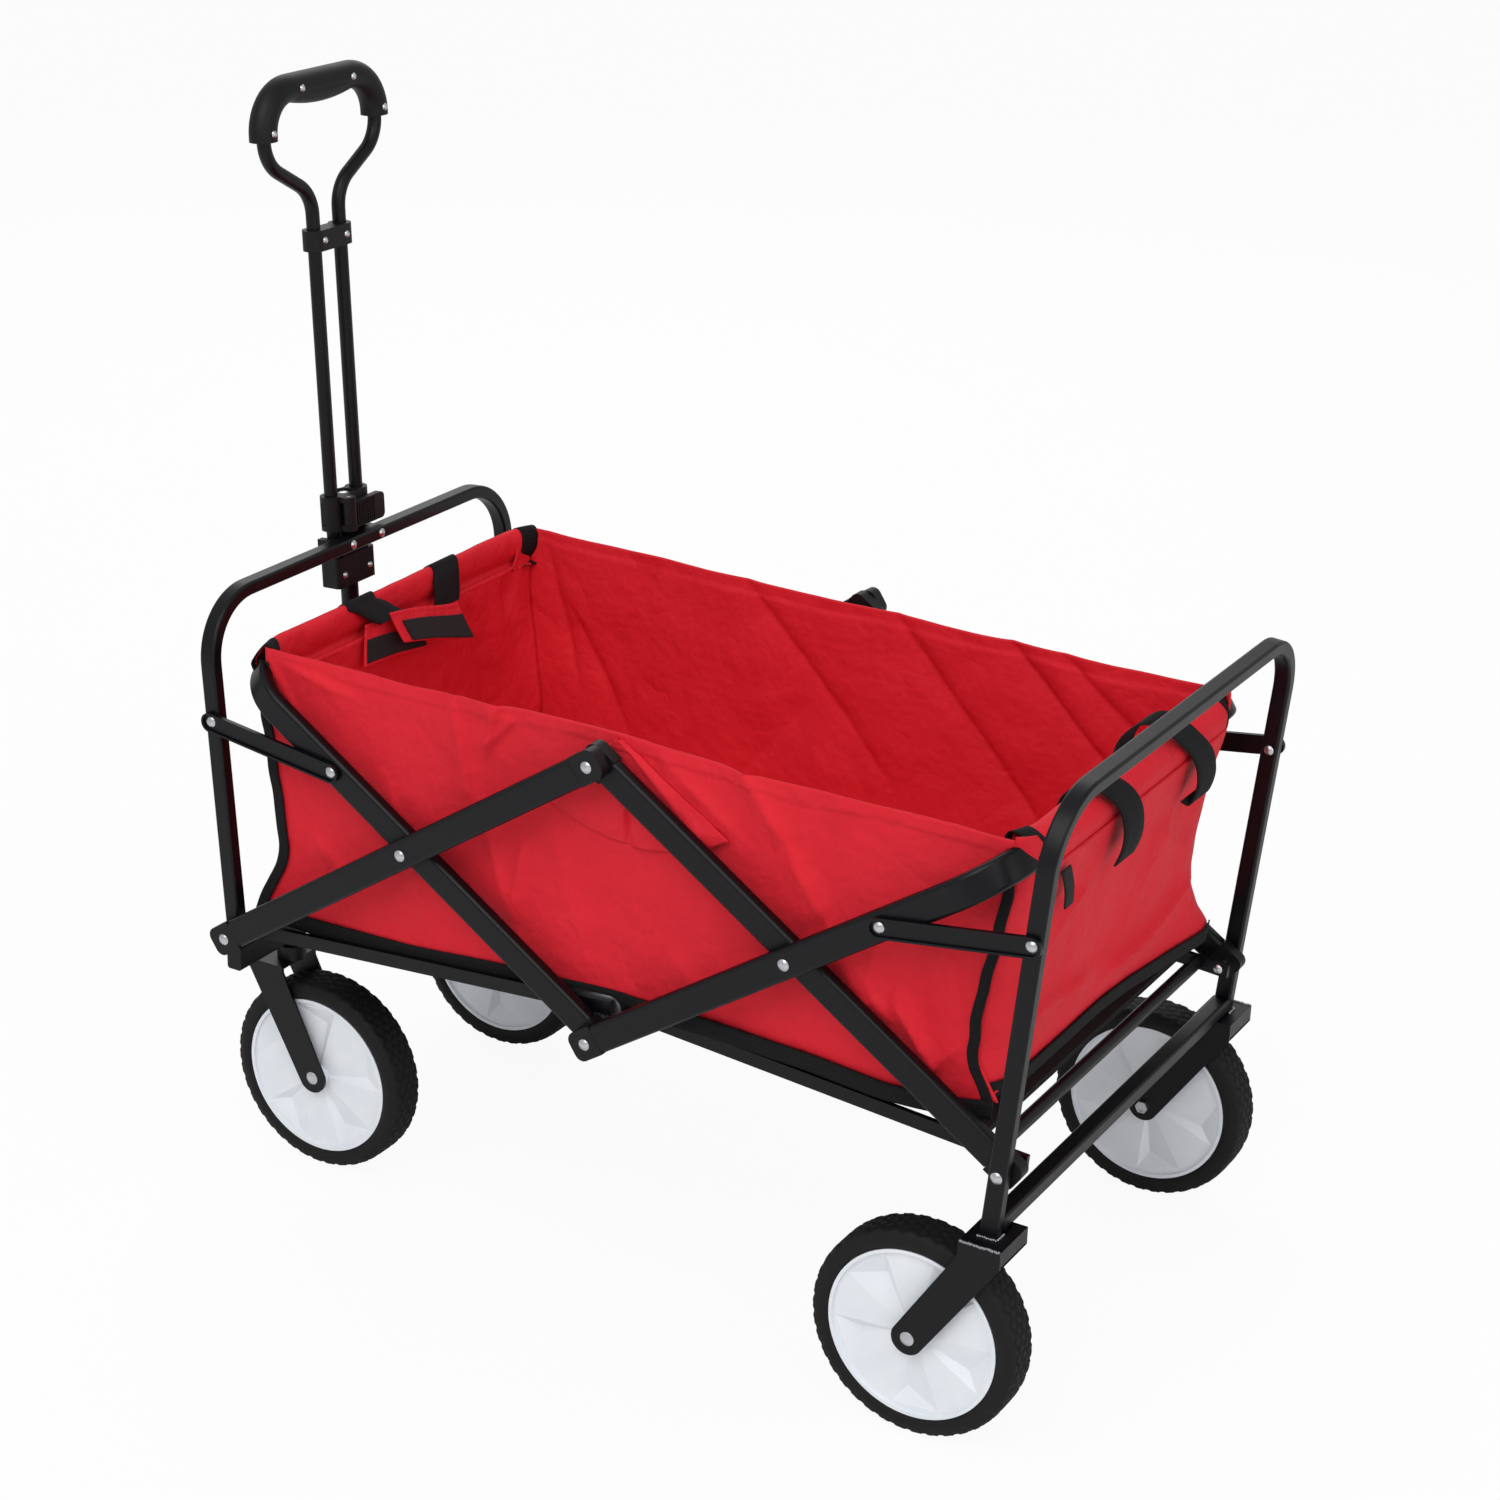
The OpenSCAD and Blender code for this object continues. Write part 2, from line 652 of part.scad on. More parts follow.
module disc_face() {
  reach = disc_r - ring_w;
  difference() {
    cylinder(r = disc_r - fit, h = disc_w / 2);
    translate([0, 0, disc_w / 2]) for (i = [0 : petals - 1]) rotate([0, 0, i * 360 / petals])
      pocket(reach - ring_w / 2, fork_w / 2 - ring_w - 1);
  }
  translate([0, 0, disc_w / 2]) difference() {
    cylinder(r = disc_r - fit, h = dish);
    translate([0, 0, -1]) cylinder(r = reach, h = 2 * dish);
  }
  cylinder(r = fork_w / 2 - ring_w, h = fork_in - 5 * seat);
}

module wheel_disc(turn) {
  rotate([90, turn, 0]) difference() {
    for (s = [0, 1]) mirror([0, 0, s]) disc_face();
    translate([0, 0, -tyre_w]) cylinder(r = axle_r + fit, h = 2 * tyre_w);
  }
}

// a tyre's section: a bead in the disc, side walls with a step, and a tread with round shoulders
module tyre() {
  step_r = tyre_r - tread_h;
  groove = tread_h / 5;
  rotate([90, 0, 0]) rotate_extrude() {
    translate([disc_r, -tyre_w / 2 + bead / 2]) square([step_r - disc_r, tyre_w - bead]);
    translate([disc_r + bead, -tyre_w / 2]) square([step_r - disc_r - bead - groove, tyre_w]);
    translate([step_r - hair, -tyre_w / 2 + groove]) square([tread_h - shoulder + hair, tyre_w - 2 * groove]);
    translate([step_r - hair, -tyre_w / 2 + groove + shoulder])
      square([tread_h + hair, tyre_w - 2 * (groove + shoulder)]);
    for (s = [-1, 1]) translate([tyre_r - shoulder, s * (tyre_w / 2 - groove - shoulder)]) circle(shoulder);
  }
}

module at_rear_wheel(side) { translate([rear_axle_x, side * rear_wheel_y, tyre_r]) children(); }
module at_front_wheel(side) { translate([front_axle_x, side * caster_y, tyre_r]) children(); }
module rear_wheel_left() { color(white) wagon() at_rear_wheel(-1) wheel_disc(-41); }
module rear_wheel_right() { color(white) wagon() at_rear_wheel(1) wheel_disc(22); }
module front_wheel_left() { color(white) wagon() at_front_wheel(-1) wheel_disc(-1); }
module front_wheel_right() { color(white) wagon() at_front_wheel(1) wheel_disc(30); }
module rear_tyre_left() { color(rubber) wagon() at_rear_wheel(-1) tyre(); }
module rear_tyre_right() { color(rubber) wagon() at_rear_wheel(1) tyre(); }
module front_tyre_left() { color(rubber) wagon() at_front_wheel(-1) tyre(); }
module front_tyre_right() { color(rubber) wagon() at_front_wheel(1) tyre(); }

// axle bolt: a shank through both fork plates, a domed head and a nut
module axle() {
  cross_pin(axle_r, -fork_out - 3, fork_out + 0.01);
  translate([0, fork_out, 0]) rotate([-90, 0, 0]) rivet_head(axle_head_r);
  translate([0, -fork_out, 0]) rotate([90, 0, 0]) difference() {
    cylinder(r = axle_head_r, h = 4, $fn = 6);
    translate([0, 0, -1]) cylinder(r = axle_r - 0.01, h = 6);
  }
}

module rear_axles() { color(zinc) wagon() both_sides() at_rear_wheel(1) axle(); }
module caster_axle_left() { color(zinc) wagon() mirror([0, 1, 0]) at_front_wheel(1) axle(); }
module caster_axle_right() { color(zinc) wagon() at_front_wheel(1) axle(); }

// a fork plate: outline from the top edge down to a round end at the axle
module fork_plate(outline, hub_x) {
  along_y(fork_t) difference() {
    union() {
      polygon(outline);
      translate([hub_x, tyre_r]) circle(fork_w / 2);
    }
    translate([hub_x, tyre_r]) circle(axle_r + fit);
  }
}

// the two points where a plate's straight edges leave the round end
function fork_tangent(from, hub, turn) =
  let (d = norm(from - hub), a = atan2(from[1] - hub[1], from[0] - hub[0]) + turn * acos(fork_w / 2 / d))
  hub + fork_w / 2 * [cos(a), sin(a)];

module rear_fork(side) {
  hub = [rear_axle_x, tyre_r];
  x0 = base_x - (pivot_z - saddle_z) * tan(rear_lean) - saddle_l / 2 + 1;
  corner = [x0 + saddle_l, saddle_z - fork_edge];
  low_corner = [x0, saddle_z - saddle_lip];
  outline = [[x0, saddle_z], [x0 + saddle_l, saddle_z], corner,
    fork_tangent(corner, hub, -1), hub, fork_tangent(low_corner, hub, 1), low_corner];
  color(steel) wagon() on_side(side) {
    for (s = [-1, 1]) translate([0, rear_wheel_y + s * (fork_in + fork_t / 2), 0])
      fork_plate(outline, rear_axle_x);
    translate([x0, rear_wheel_y - fork_out, saddle_z - fork_t]) cube([saddle_l, 2 * fork_out, fork_t]);
    translate([x0 + saddle_l - fork_t, rear_wheel_y - fork_out, saddle_z - saddle_lip])
      cube([fork_t, 2 * fork_out, saddle_lip]);
    translate([x0, rear_wheel_y - fork_out, saddle_z - saddle_lip / 2]) cube([fork_t, 2 * fork_out, saddle_lip / 2]);
  }
}
module rear_fork_left() { rear_fork(-1); }
module rear_fork_right() { rear_fork(1); }

module caster_fork(side) {
  hub = [front_axle_x, tyre_r];
  x0 = -base_x - crown_ahead - crown_l / 2;
  inner_corner = [x0 + crown_l, crown_z - crown_edge];
  outer_corner = [x0, crown_z - crown_edge];
  outline = [[x0, crown_z], [x0 + crown_l, crown_z], inner_corner,
    fork_tangent(inner_corner, hub, -1), hub, fork_tangent(outer_corner, hub, 1), outer_corner];
  color(steel) wagon() on_side(side) {
    for (s = [-1, 1]) translate([0, caster_y + s * (fork_in + fork_t / 2), 0])
      fork_plate(outline, front_axle_x);
    translate([x0, caster_y - fork_out, crown_z - fork_t]) cube([crown_l, 2 * fork_out, fork_t]);
    translate([-base_x, caster_y, crown_z - fork_t]) {
      cylinder(r = stem_r, h = front_bar_top - crown_z + fork_t + 3);
      translate([0, 0, front_bar_top - crown_z + fork_t + seat]) cylinder(r = stem_r + 4, h = 5);
    }
  }
}
module caster_fork_left() { caster_fork(-1); }
module caster_fork_right() { caster_fork(1); }

// ---------- floor ----------

module floor_frame(y) {
  for (side = [-1, 1]) on_side(side) translate([0, y, 0]) difference() {
    translate([-9, -floor_bar_t / 2, -floor_bar_h / 2]) cube([floor_l + 17, floor_bar_t, floor_bar_h]);
    translate([0, 0, 0]) cross_pin(rivet_r + fit, -floor_bar_t, floor_bar_t);
  }
  for (x = [cross_tube_a, floor_l - cross_tube_b]) translate([x, 0, 0]) along_y(2 * y - floor_bar_t)
    difference() {
      circle(cross_tube_r);
      circle(cross_tube_r - bar_wall);
    }
}

module floor_board() {
  translate([board_start, -board_y, floor_bar_h / 2 + seat])
    cube([floor_l - board_end - board_start, 2 * board_y, board_t]);
}

// zinc plates on the front bars' ends, with the studs of the middle hinge
module floor_hinges_front() {
  y = floor_front_y - floor_bar_t / 2 - plate_t / 2;
  color(zinc) wagon() both_sides() at_floor_front() {
    translate([floor_l - plate_l + rivet_r, y, -rivet_r]) along_y(plate_t) difference() {
      stadium(plate_l, plate_w);
      translate([plate_l - rivet_r, rivet_r]) circle(rivet_r);
    }
    translate([floor_l, 0, 0]) cross_pin(rivet_r, y - plate_t / 2, y + plate_t / 2);
  }
}

module floor_frame_front() { color(steel) wagon() at_floor_front() floor_frame(floor_front_y); }
module floor_frame_rear() { color(steel) wagon() at_floor_rear() floor_frame(floor_rear_y); }
module floor_board_front() { color(timber) wagon() at_floor_front() floor_board(); }
module floor_board_rear() { color(timber) wagon() at_floor_rear() floor_board(); }

// ---------- basket ----------

function floor_z(x) = pivot_z + (base_x - abs(x)) * tan(floor_angle) + board_top / cos(floor_angle) + seat;

// side outline of the basket, inset from its outer faces, with its floor's corners cut by the seam
module basket_outline(inset, seam = 0) {
  end = basket_x - inset;
  low = floor_z(basket_x) + inset;
  rise = (floor_z(0) + inset - low) / end * seam;
  polygon([[-end, low + seam], [-end + seam, low + rise], [0, floor_z(0) + inset], [end - seam, low + rise],
    [end, low + seam], [end, basket_top + inset], [-end, basket_top + inset]]);
}

module basket() {
  color(cloth) wagon() difference() {
    union() {
      difference() {
        intersection() {
          along_y(2 * basket_y) basket_outline(0);
          translate([-base_x, -side_y, 0]) cube([2 * base_x, 2 * side_y, basket_top]);
        }
        along_y(2 * (basket_y - cloth_t)) basket_outline(cloth_t, seam_w);
      }
      at_front_rim() translate([rim_reach, 0, 0]) along_y(2 * sleeve_y) rim_profile(seat + cloth_t);
      at_rear_rim() translate([rim_reach, 0, 0]) along_y(2 * sleeve_y) rim_profile(seat + cloth_t);
    }
    at_front_rim() rim_bow(inner_y, seat);
    at_rear_rim() rim_bow(outer_y, seat);
  }
}

// ---------- handle ----------

module rod_pair(r, s1, s2) {
  for (y = [-rod_y, rod_y]) translate([0, y, s1]) cylinder(r = r, h = s2 - s1);
}

// ears on the crossbar's front face that carry the handle pivot
module handle_bracket() {
  ear_r = 11;
  ear_t = 3;
  ear_y = post_r + 0.6;
  color(steel) wagon() difference() {
    union() {
      for (s = [-1, 1]) translate([0, s * (ear_y + ear_t / 2), 0]) along_y(ear_t) union() {
        translate([handle_x, handle_z]) circle(ear_r);
        translate([handle_x, handle_z - ear_r]) square([handle_out, 2 * ear_r]);
      }
      translate([handle_x + handle_out - 1, -ear_y - 1, handle_z - ear_r]) cube([1, 2 * ear_y + 2, 2 * ear_r]);
    }
    at(handle_x, handle_z) cross_pin(rivet_r + 1 + fit, -side_y, side_y);
  }
}

module handle_post() {
  color(steel) wagon() at_handle() difference() {
    translate([0, 0, -10]) cylinder(r = post_r, h = post_top + 10);
    translate([0, 0, -11]) cylinder(r = post_r - post_wall, h = post_top + 12);
    cross_pin(rivet_r + 1 + fit, -side_y, side_y);
  }
}

module handle_pins() {
  ear_y = post_r + 0.6 + 3;
  color(zinc) wagon() {
    at(handle_x, handle_z) {
      cross_pin(rivet_r + 1, -ear_y - seat, ear_y + seat);
      for (s = [0, 1]) mirror([0, s, 0]) translate([0, ear_y + seat, 0]) rotate([-90, 0, 0]) rivet_head(rivet_head_r + 1);
    }
    at_handle() translate([lever_x, -lever_y, lock_s + seat]) cylinder(r = pin_r, h = lock_h - 2 * seat);
    at_handle() translate([0, 0, post_top]) rivet_head(post_r - seat);
  }
}

// two eyes around the sliding tubes joined by a web, shared by the collar and the lock block
module two_eyes(r, web, h) {
  linear_extrude(h) {
    for (y = [-rod_y, rod_y]) translate([0, y]) circle(r);
    square([web, 2 * rod_y], center = true);
  }
}

module lock_block() {
  eye_r = rod_r + 4;
  color(plastic) wagon() at_handle() difference() {
    union() {
      translate([0, 0, lock_s]) two_eyes(eye_r, 2 * post_r - 1, lock_h);
      translate([0, -rod_y, lock_s]) cube([eye_r, 2 * rod_y, lock_h]);
      translate([0, 0, lock_s]) cylinder(r = post_r + 2, h = lock_h);
      for (z = [0, lock_h - lug_t]) translate([0, -lever_y, lock_s + z]) {
        translate([lever_x, 0, 0]) cylinder(r = lever_r, h = lug_t);
        translate([0, -lever_r, 0]) cube([lever_x, 2 * lever_r, lug_t]);
      }
    }
    rod_pair(rod_r + fit, lock_s - 1, lock_s + lock_h + 1);
    translate([0, 0, lock_s - 1]) cylinder(r = post_r + fit, h = lock_h + 2);
    translate([lever_x, -lever_y, lock_s + lug_t]) cylinder(r = lever_r + 0.5, h = lock_h - 2 * lug_t);
    translate([lever_x, -lever_y, lock_s - 1]) cylinder(r = pin_r + fit, h = lock_h + 2);
    both_sides() translate([-rod_r, rod_y + eye_r - 2, lock_s + lug_t]) cube([rod_r, 3, lock_h - 2 * lug_t]);
  }
}

// cam lever: a barrel on its pin, a round-ended wing in front of the block, and finger ribs on it
module lock_lever() {
  h = lock_h - 2 * lug_t - 2 * seat;
  neck = lever_r + 2;
  face = rod_r + 4 - lever_x + seat;
  color(plastic) wagon() at_handle() translate([lever_x, -lever_y, lock_s]) difference() {
    union() {
      translate([0, 0, lug_t + seat]) cylinder(r = lever_r, h = h);
      translate([face, 0, lug_t + seat]) cube([wing_t, neck + 1, h]);
      translate([face, neck, 0]) rotate([90, 0, 90]) linear_extrude(wing_t) {
        translate([0, 0]) square([lever_wing - neck - 5, wing_h]);
        translate([(lever_wing - neck) / 2, wing_h / 2]) round_rect(lever_wing - neck, wing_h, 5);
      }
      for (i = [1 : ribs]) translate([face + wing_t, neck + i * rib_step, 2]) cylinder(r = rib_r, h = wing_h - 4, $fn = 16);
    }
    translate([0, 0, -1]) cylinder(r = pin_r + fit, h = lock_h + 2);
  }
}

module handle_clip() {
  gap = rod_y + rod_r + seat + 0.1;
  color(plastic) wagon() difference() {
    at_front_hoop() translate([-hoop_d / 2, 0, front_hoop_h - 2]) {
      translate([-clip_t, -gap - clip_w, -hoop_w / 4]) cube([clip_t, 2 * (gap + clip_w), 3 * hoop_w / 4]);
      both_sides() translate([-clip_deep, gap, -hoop_w / 4]) cube([clip_deep, clip_w, 3 * hoop_w / 4]);
    }
    clip_rivet_holes(rivet_r * 0.8 + fit);
  }
}

module clip_rivet_holes(r) {
  at_front_hoop() for (y = [-1, 1] * rod_y * 1.15) translate([-hoop_d, y, front_hoop_h])
    rotate([0, 90, 0]) cylinder(r = r, h = 2 * hoop_d);
}

module slide_block() {
  color(plastic) wagon() at_handle() difference() {
    union() {
      translate([0, 0, slide_s]) linear_extrude(slide_h)
        round_rect(slide_d, 2 * (rod_y + rod_r + 3), 4);
      translate([0, 0, slide_s + slide_h - 1]) two_eyes(rod_r + 1.5, 2 * post_r + 3, neck_h + 1);
    }
    translate([0, 0, slide_s - 1]) cylinder(r = post_r + fit, h = slide_h + neck_h + 2);
    rod_pair(rod_r + fit, slide_s + rod_end, slide_s + slide_h + neck_h + 1);
    for (y = [-1, 1] * rod_y) translate([slide_d / 2 - 3, y, slide_screw_s]) rotate([0, 90, 0])
      cylinder(r = screw_r + fit, h = 10);
  }
}

// collar: two eyes with a flat front that the screws seat on
module handle_collar() {
  front = rod_r + 4;
  color(plastic) wagon() at_handle() difference() {
    translate([0, 0, collar_s - collar_h / 2]) {
      two_eyes(front, 2 * front - 7, collar_h);
      translate([0, -rod_y, 0]) cube([front, 2 * rod_y, collar_h]);
    }
    rod_pair(rod_r + fit, collar_s - collar_h, collar_s + collar_h);
    for (y = [-1, 1] * collar_screw_y) translate([front - 3, y, collar_s]) rotate([0, 90, 0])
      cylinder(r = screw_r + fit, h = 10);
  }
}

module rod_section(r, wall) {
  difference() {
    circle(r);
    if (wall > 0) circle(r - wall);
  }
}

// a straight length of the loop's tube, a hair thinner than the bends and let into them at both ends
module straight(l) {
  translate([0, 0, -lap]) linear_extrude(l + 2 * lap) rod_section(rod_r - hair, rod_wall - 2 * hair);
}

// bends in the plane of the loop, built on its +Y side and mirrored
module loop_path(from) {
  both_sides() {
    translate([0, rod_y, from + lap]) straight(loop_start - from - lap);
    translate([0, rod_y + loop_bend, loop_start]) rotate([90, 0, 90]) rotate([0, 0, 180 - loop_angle])
      rotate_extrude(angle = loop_angle) translate([loop_bend, 0]) rod_section(rod_r, rod_wall);
    translate([0, rod_y + loop_bend * (1 - cos(loop_angle)), loop_start + loop_bend * sin(loop_angle)])
      rotate([-loop_angle, 0, 0]) {
        straight(loop_run);
        translate([0, -loop_bend, loop_run]) rotate([90, 0, 90])
          rotate_extrude(angle = loop_angle) translate([loop_bend, 0]) rod_section(rod_r, rod_wall);
      }
    translate([0, loop_y, grip_s - grip_bend - grip_leg - 1]) straight(grip_leg + 1);
    upper_loop(rod_r, rod_wall, 0);
  }
}

module upper_loop(r, wall, leg) {
  z = grip_s - grip_bend;
  if (leg > 0) translate([0, loop_y, z - leg]) linear_extrude(leg) rod_section(r, wall);
  translate([0, loop_y - grip_bend, z]) rotate([90, 0, 90])
    rotate_extrude(angle = 90) translate([grip_bend, 0]) rod_section(r, wall);
  translate([0, 0, grip_s]) rotate([-90, 0, 0]) linear_extrude(loop_y - grip_bend) rod_section(r, wall);
}

module handle_tubes() { color(steel) wagon() at_handle() loop_path(slide_s + rod_end + seat); }

// moulded grip: round section with a palm swell, bored for the tube
module grip_body() {
  half = loop_y - grip_bend;
  arc_r = (half * half + swell * swell) / (2 * swell);
  arc = 2 * asin(half / arc_r);
  difference() {
    union() {
      both_sides() upper_loop(grip_r, 0, grip_leg);
      translate([0, 0, grip_s + arc_r - swell]) rotate([90, 0, 90]) rotate([0, 0, -90 - arc / 2])
        rotate_extrude(angle = arc) translate([arc_r, 0]) circle(grip_r - 0.5);
    }
    both_sides() upper_loop(rod_r + fit, 0, grip_leg + 1);
    for (p = grip_screws()) translate([grip_r - 3, p[0], p[1]]) rotate([0, 90, 0]) cylinder(r = screw_r + fit, h = 10);
  }
}

function grip_screws() = [[-35, grip_s], [35, grip_s], [-loop_y, grip_s - grip_bend + 3],
  [loop_y, grip_s - grip_bend + 3]];

module grip_shell(front) {
  color(plastic) wagon() at_handle() intersection() {
    grip_body();
    translate([front ? -4 * grip_r - seat / 4 : seat / 4, -2 * loop_y, collar_s]) cube([4 * grip_r, 4 * loop_y, 2 * grip_s]);
  }
}
module grip_shell_front() { grip_shell(true); }
module grip_shell_rear() { grip_shell(false); }

module screw(depth) {
  rotate([0, 90, 0]) {
    rivet_head(rivet_head_r * 0.6);
    translate([0, 0, -depth]) cylinder(r = screw_r, h = depth + 0.01);
  }
}

module handle_screws() {
  color(zinc) wagon() at_handle() {
    for (p = grip_screws()) translate([grip_r, p[0], p[1]]) screw(2.8);
    for (y = [-1, 1] * collar_screw_y) translate([rod_r + 4, y, collar_s]) screw(2.8);
    for (y = [-1, 1] * rod_y) translate([slide_d / 2, y, slide_screw_s]) screw(2.8);
  }
}

front_hoop();
front_crossbar();
handle_bracket();
handle_clip();
front_frame_rivets();
caster_bearings();
front_arm_left();
front_arm_right();
front_arm_caps();
front_arm_rivets();
rear_arm_left();
rear_arm_right();
rear_arm_caps();
rear_arm_rivets();
front_rim_tube();
front_rim_caps();
rear_rim_tube();
rear_rim_caps();
centre_rivets();
front_link_left();
front_link_right();
front_link_rivets();
rear_link_left();
rear_link_right();
rear_link_rivets();
rear_hoop();
rear_crossbar();
rear_fork_left();
rear_fork_right();
rear_axles();
rear_frame_rivets();
rear_wheel_left();
rear_tyre_left();
rear_wheel_right();
rear_tyre_right();
caster_fork_left();
caster_axle_left();
caster_fork_right();
caster_axle_right();
front_wheel_left();
front_tyre_left();
front_wheel_right();
front_tyre_right();
floor_frame_front();
floor_hinges_front();
floor_board_front();
floor_frame_rear();
floor_board_rear();
basket();
handle_post();
lock_block();
handle_pins();
lock_lever();
handle_tubes();
handle_collar();
slide_block();
grip_shell_front();
grip_shell_rear();
handle_screws();
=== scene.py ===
import json
import math

import bmesh
import bpy
from mathutils import Matrix, Vector, noise


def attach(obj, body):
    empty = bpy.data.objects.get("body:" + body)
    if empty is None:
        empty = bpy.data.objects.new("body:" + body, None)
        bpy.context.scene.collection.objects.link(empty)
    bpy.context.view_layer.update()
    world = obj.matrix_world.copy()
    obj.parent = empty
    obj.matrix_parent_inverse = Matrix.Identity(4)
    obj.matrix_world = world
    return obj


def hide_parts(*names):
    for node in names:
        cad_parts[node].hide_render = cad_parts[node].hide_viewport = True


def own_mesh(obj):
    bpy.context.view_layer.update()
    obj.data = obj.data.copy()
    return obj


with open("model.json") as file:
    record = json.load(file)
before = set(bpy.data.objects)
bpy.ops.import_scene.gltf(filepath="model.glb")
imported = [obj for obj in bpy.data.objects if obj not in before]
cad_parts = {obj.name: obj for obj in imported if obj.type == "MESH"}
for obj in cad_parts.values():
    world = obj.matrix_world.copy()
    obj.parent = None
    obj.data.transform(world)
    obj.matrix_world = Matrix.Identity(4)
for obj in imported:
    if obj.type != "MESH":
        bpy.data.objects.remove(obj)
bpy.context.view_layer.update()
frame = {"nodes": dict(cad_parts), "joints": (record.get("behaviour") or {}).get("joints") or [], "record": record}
print("frame loaded:", len(frame["nodes"]), "nodes")


# shader helper

class Socket:
    # wraps an output socket, so that shader maths reads as Python

    tree = None

    def __init__(self, value):
        self.value = value

    @classmethod
    def node(cls, kind, settings=None, **inputs):
        made = cls.tree.nodes.new(kind)
        for key, value in (settings or {}).items():
            setattr(made, key, value)
        for key, value in inputs.items():
            numbered = key[0] == "i" and key[1:].isdigit()
            slot = made.inputs[int(key[1:]) if numbered else key.replace("_", " ")]
            if isinstance(value, Socket):
                cls.tree.links.new(value.value, slot)
            else:
                slot.default_value = value
        return made

    @classmethod
    def math(cls, operation, *values, clamp=False):
        inputs = {f"i{n}": v for n, v in enumerate(values)}
        settings = {"operation": operation, "use_clamp": clamp}
        return cls(cls.node("ShaderNodeMath", settings, **inputs).outputs[0])

    def __add__(self, other):
        return Socket.math("ADD", self, other)

    __radd__ = __add__

    def __sub__(self, other):
        return Socket.math("SUBTRACT", self, other)

    def __rsub__(self, other):
        return Socket.math("SUBTRACT", other, self)

    def __mul__(self, other):
        return Socket.math("MULTIPLY", self, other)

    __rmul__ = __mul__

    def __abs__(self):
        return Socket.math("ABSOLUTE", self)

    def above(self, edge, soft):
        return Socket.math("MULTIPLY_ADD", self, 1 / soft, 0.5 - edge / soft, clamp=True)

    def wave(self, period):
        return Socket.math("SINE", self * (2 * math.pi / period))

    def parts(self):
        made = Socket.node("ShaderNodeSeparateXYZ", i0=self)
        return [Socket(made.outputs[n]) for n in range(3)]


def mixed(mask, dark, light):
    return Socket(Socket.node("ShaderNodeMix", {"data_type": "RGBA"}, i0=mask, i6=dark, i7=light).outputs[2])


def coordinates(kind="Object"):
    return Socket(Socket.node("ShaderNodeTexCoord").outputs[kind])


def cloud(where, scale, detail=3, rough=0.5):
    made = Socket.node("ShaderNodeTexNoise", {"noise_dimensions": "3D"}, Vector=where,
                       Scale=scale, Detail=detail, Roughness=rough)
    return Socket(made.outputs["Fac"])


def bump(height, strength=0.3, distance=0.001):
    made = Socket.node("ShaderNodeBump", Strength=strength, Distance=distance, Height=height)
    return Socket(made.outputs["Normal"])


def material(name, build, **plain):
    made = bpy.data.materials.new(name)
    made.use_nodes = True
    Socket.tree = made.node_tree
    shader = made.node_tree.nodes["Principled BSDF"]
    for key, value in plain.items():
        shader.inputs[key.replace("_", " ")].default_value = value
    for key, value in build().items():
        if isinstance(value, Socket):
            made.node_tree.links.new(value.value, shader.inputs[key])
        else:
            shader.inputs[key].default_value = value
    return made


def rgb(r, g, b):
    # screen colour, 0 to 255, as a linear one
    linear = [((v / 255 + 0.055) / 1.055) ** 2.4 if v > 10 else v / 255 / 12.92 for v in (r, g, b)]
    return (*linear, 1.0)


# places, in metres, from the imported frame

joint = {j["name"]: j for j in frame["joints"]}
midX = Vector(joint["top_pivot"]["pos_m"]).x


# finishes

def speckled(patches, tints, rough, relief, grain=None):
    # patches and grain are (scale, detail, roughness) of a noise, tints (dark, light), rough (least, spread)
    # and relief (strength, distance)
    def build():
        where = coordinates()
        patch = cloud(where, *patches)
        fine = cloud(where, *grain) if grain else patch
        return {"Base Color": mixed(patch, *tints), "Roughness": rough[0] + patch * rough[1],
                "Normal": bump(fine, *relief)}
    return build


powderCoat = speckled(patches=(35, 4, 0.6), tints=(rgb(4, 5, 9), rgb(7, 8, 13)), rough=(0.3, 0.14),
                      relief=(0.12, 0.0004), grain=(900, 2))
mouldedPlastic = speckled(patches=(28, 3), tints=(rgb(7, 7, 9), rgb(12, 12, 14)), rough=(0.42, 0.16),
                          relief=(0.22, 0.0004), grain=(1600, 3, 0.7))
zincPlate = speckled(patches=(420, 4, 0.65), tints=(rgb(176, 178, 182), rgb(222, 224, 228)),
                     rough=(0.2, 0.25), relief=(0.15, 0.0003))
whitePlastic = speckled(patches=(40, 3), tints=(rgb(226, 231, 238), rgb(240, 243, 247)), rough=(0.3, 0.12),
                        relief=(0.08, 0.0003), grain=(1300, 2))
tyreRubber = speckled(patches=(60, 5, 0.65), tints=(rgb(13, 13, 13), rgb(24, 24, 24)), rough=(0.55, 0.2),
                      relief=(0.3, 0.0004), grain=(1500, 3, 0.7))
# the weld beads' bright silver is a painted highlight on the black frame's edges; the beads themselves are real
beadPaintedHighlight = speckled(patches=(380, 3, 0.6), tints=(rgb(70, 70, 72), rgb(205, 206, 210)), rough=(0.28, 0.2),
                     relief=(0.4, 0.0004))


def coveredBoard():
    thread = 0.003
    where = coordinates()
    x, y, _ = where.parts()
    weave = abs(x.wave(thread)) + abs(y.wave(thread))
    dust = cloud(where, 50, 4)
    return {"Base Color": mixed(dust, rgb(26, 26, 27), rgb(40, 40, 41)), "Roughness": 0.7 + dust * 0.15,
            "Normal": bump(weave, 0.3, 0.0005)}


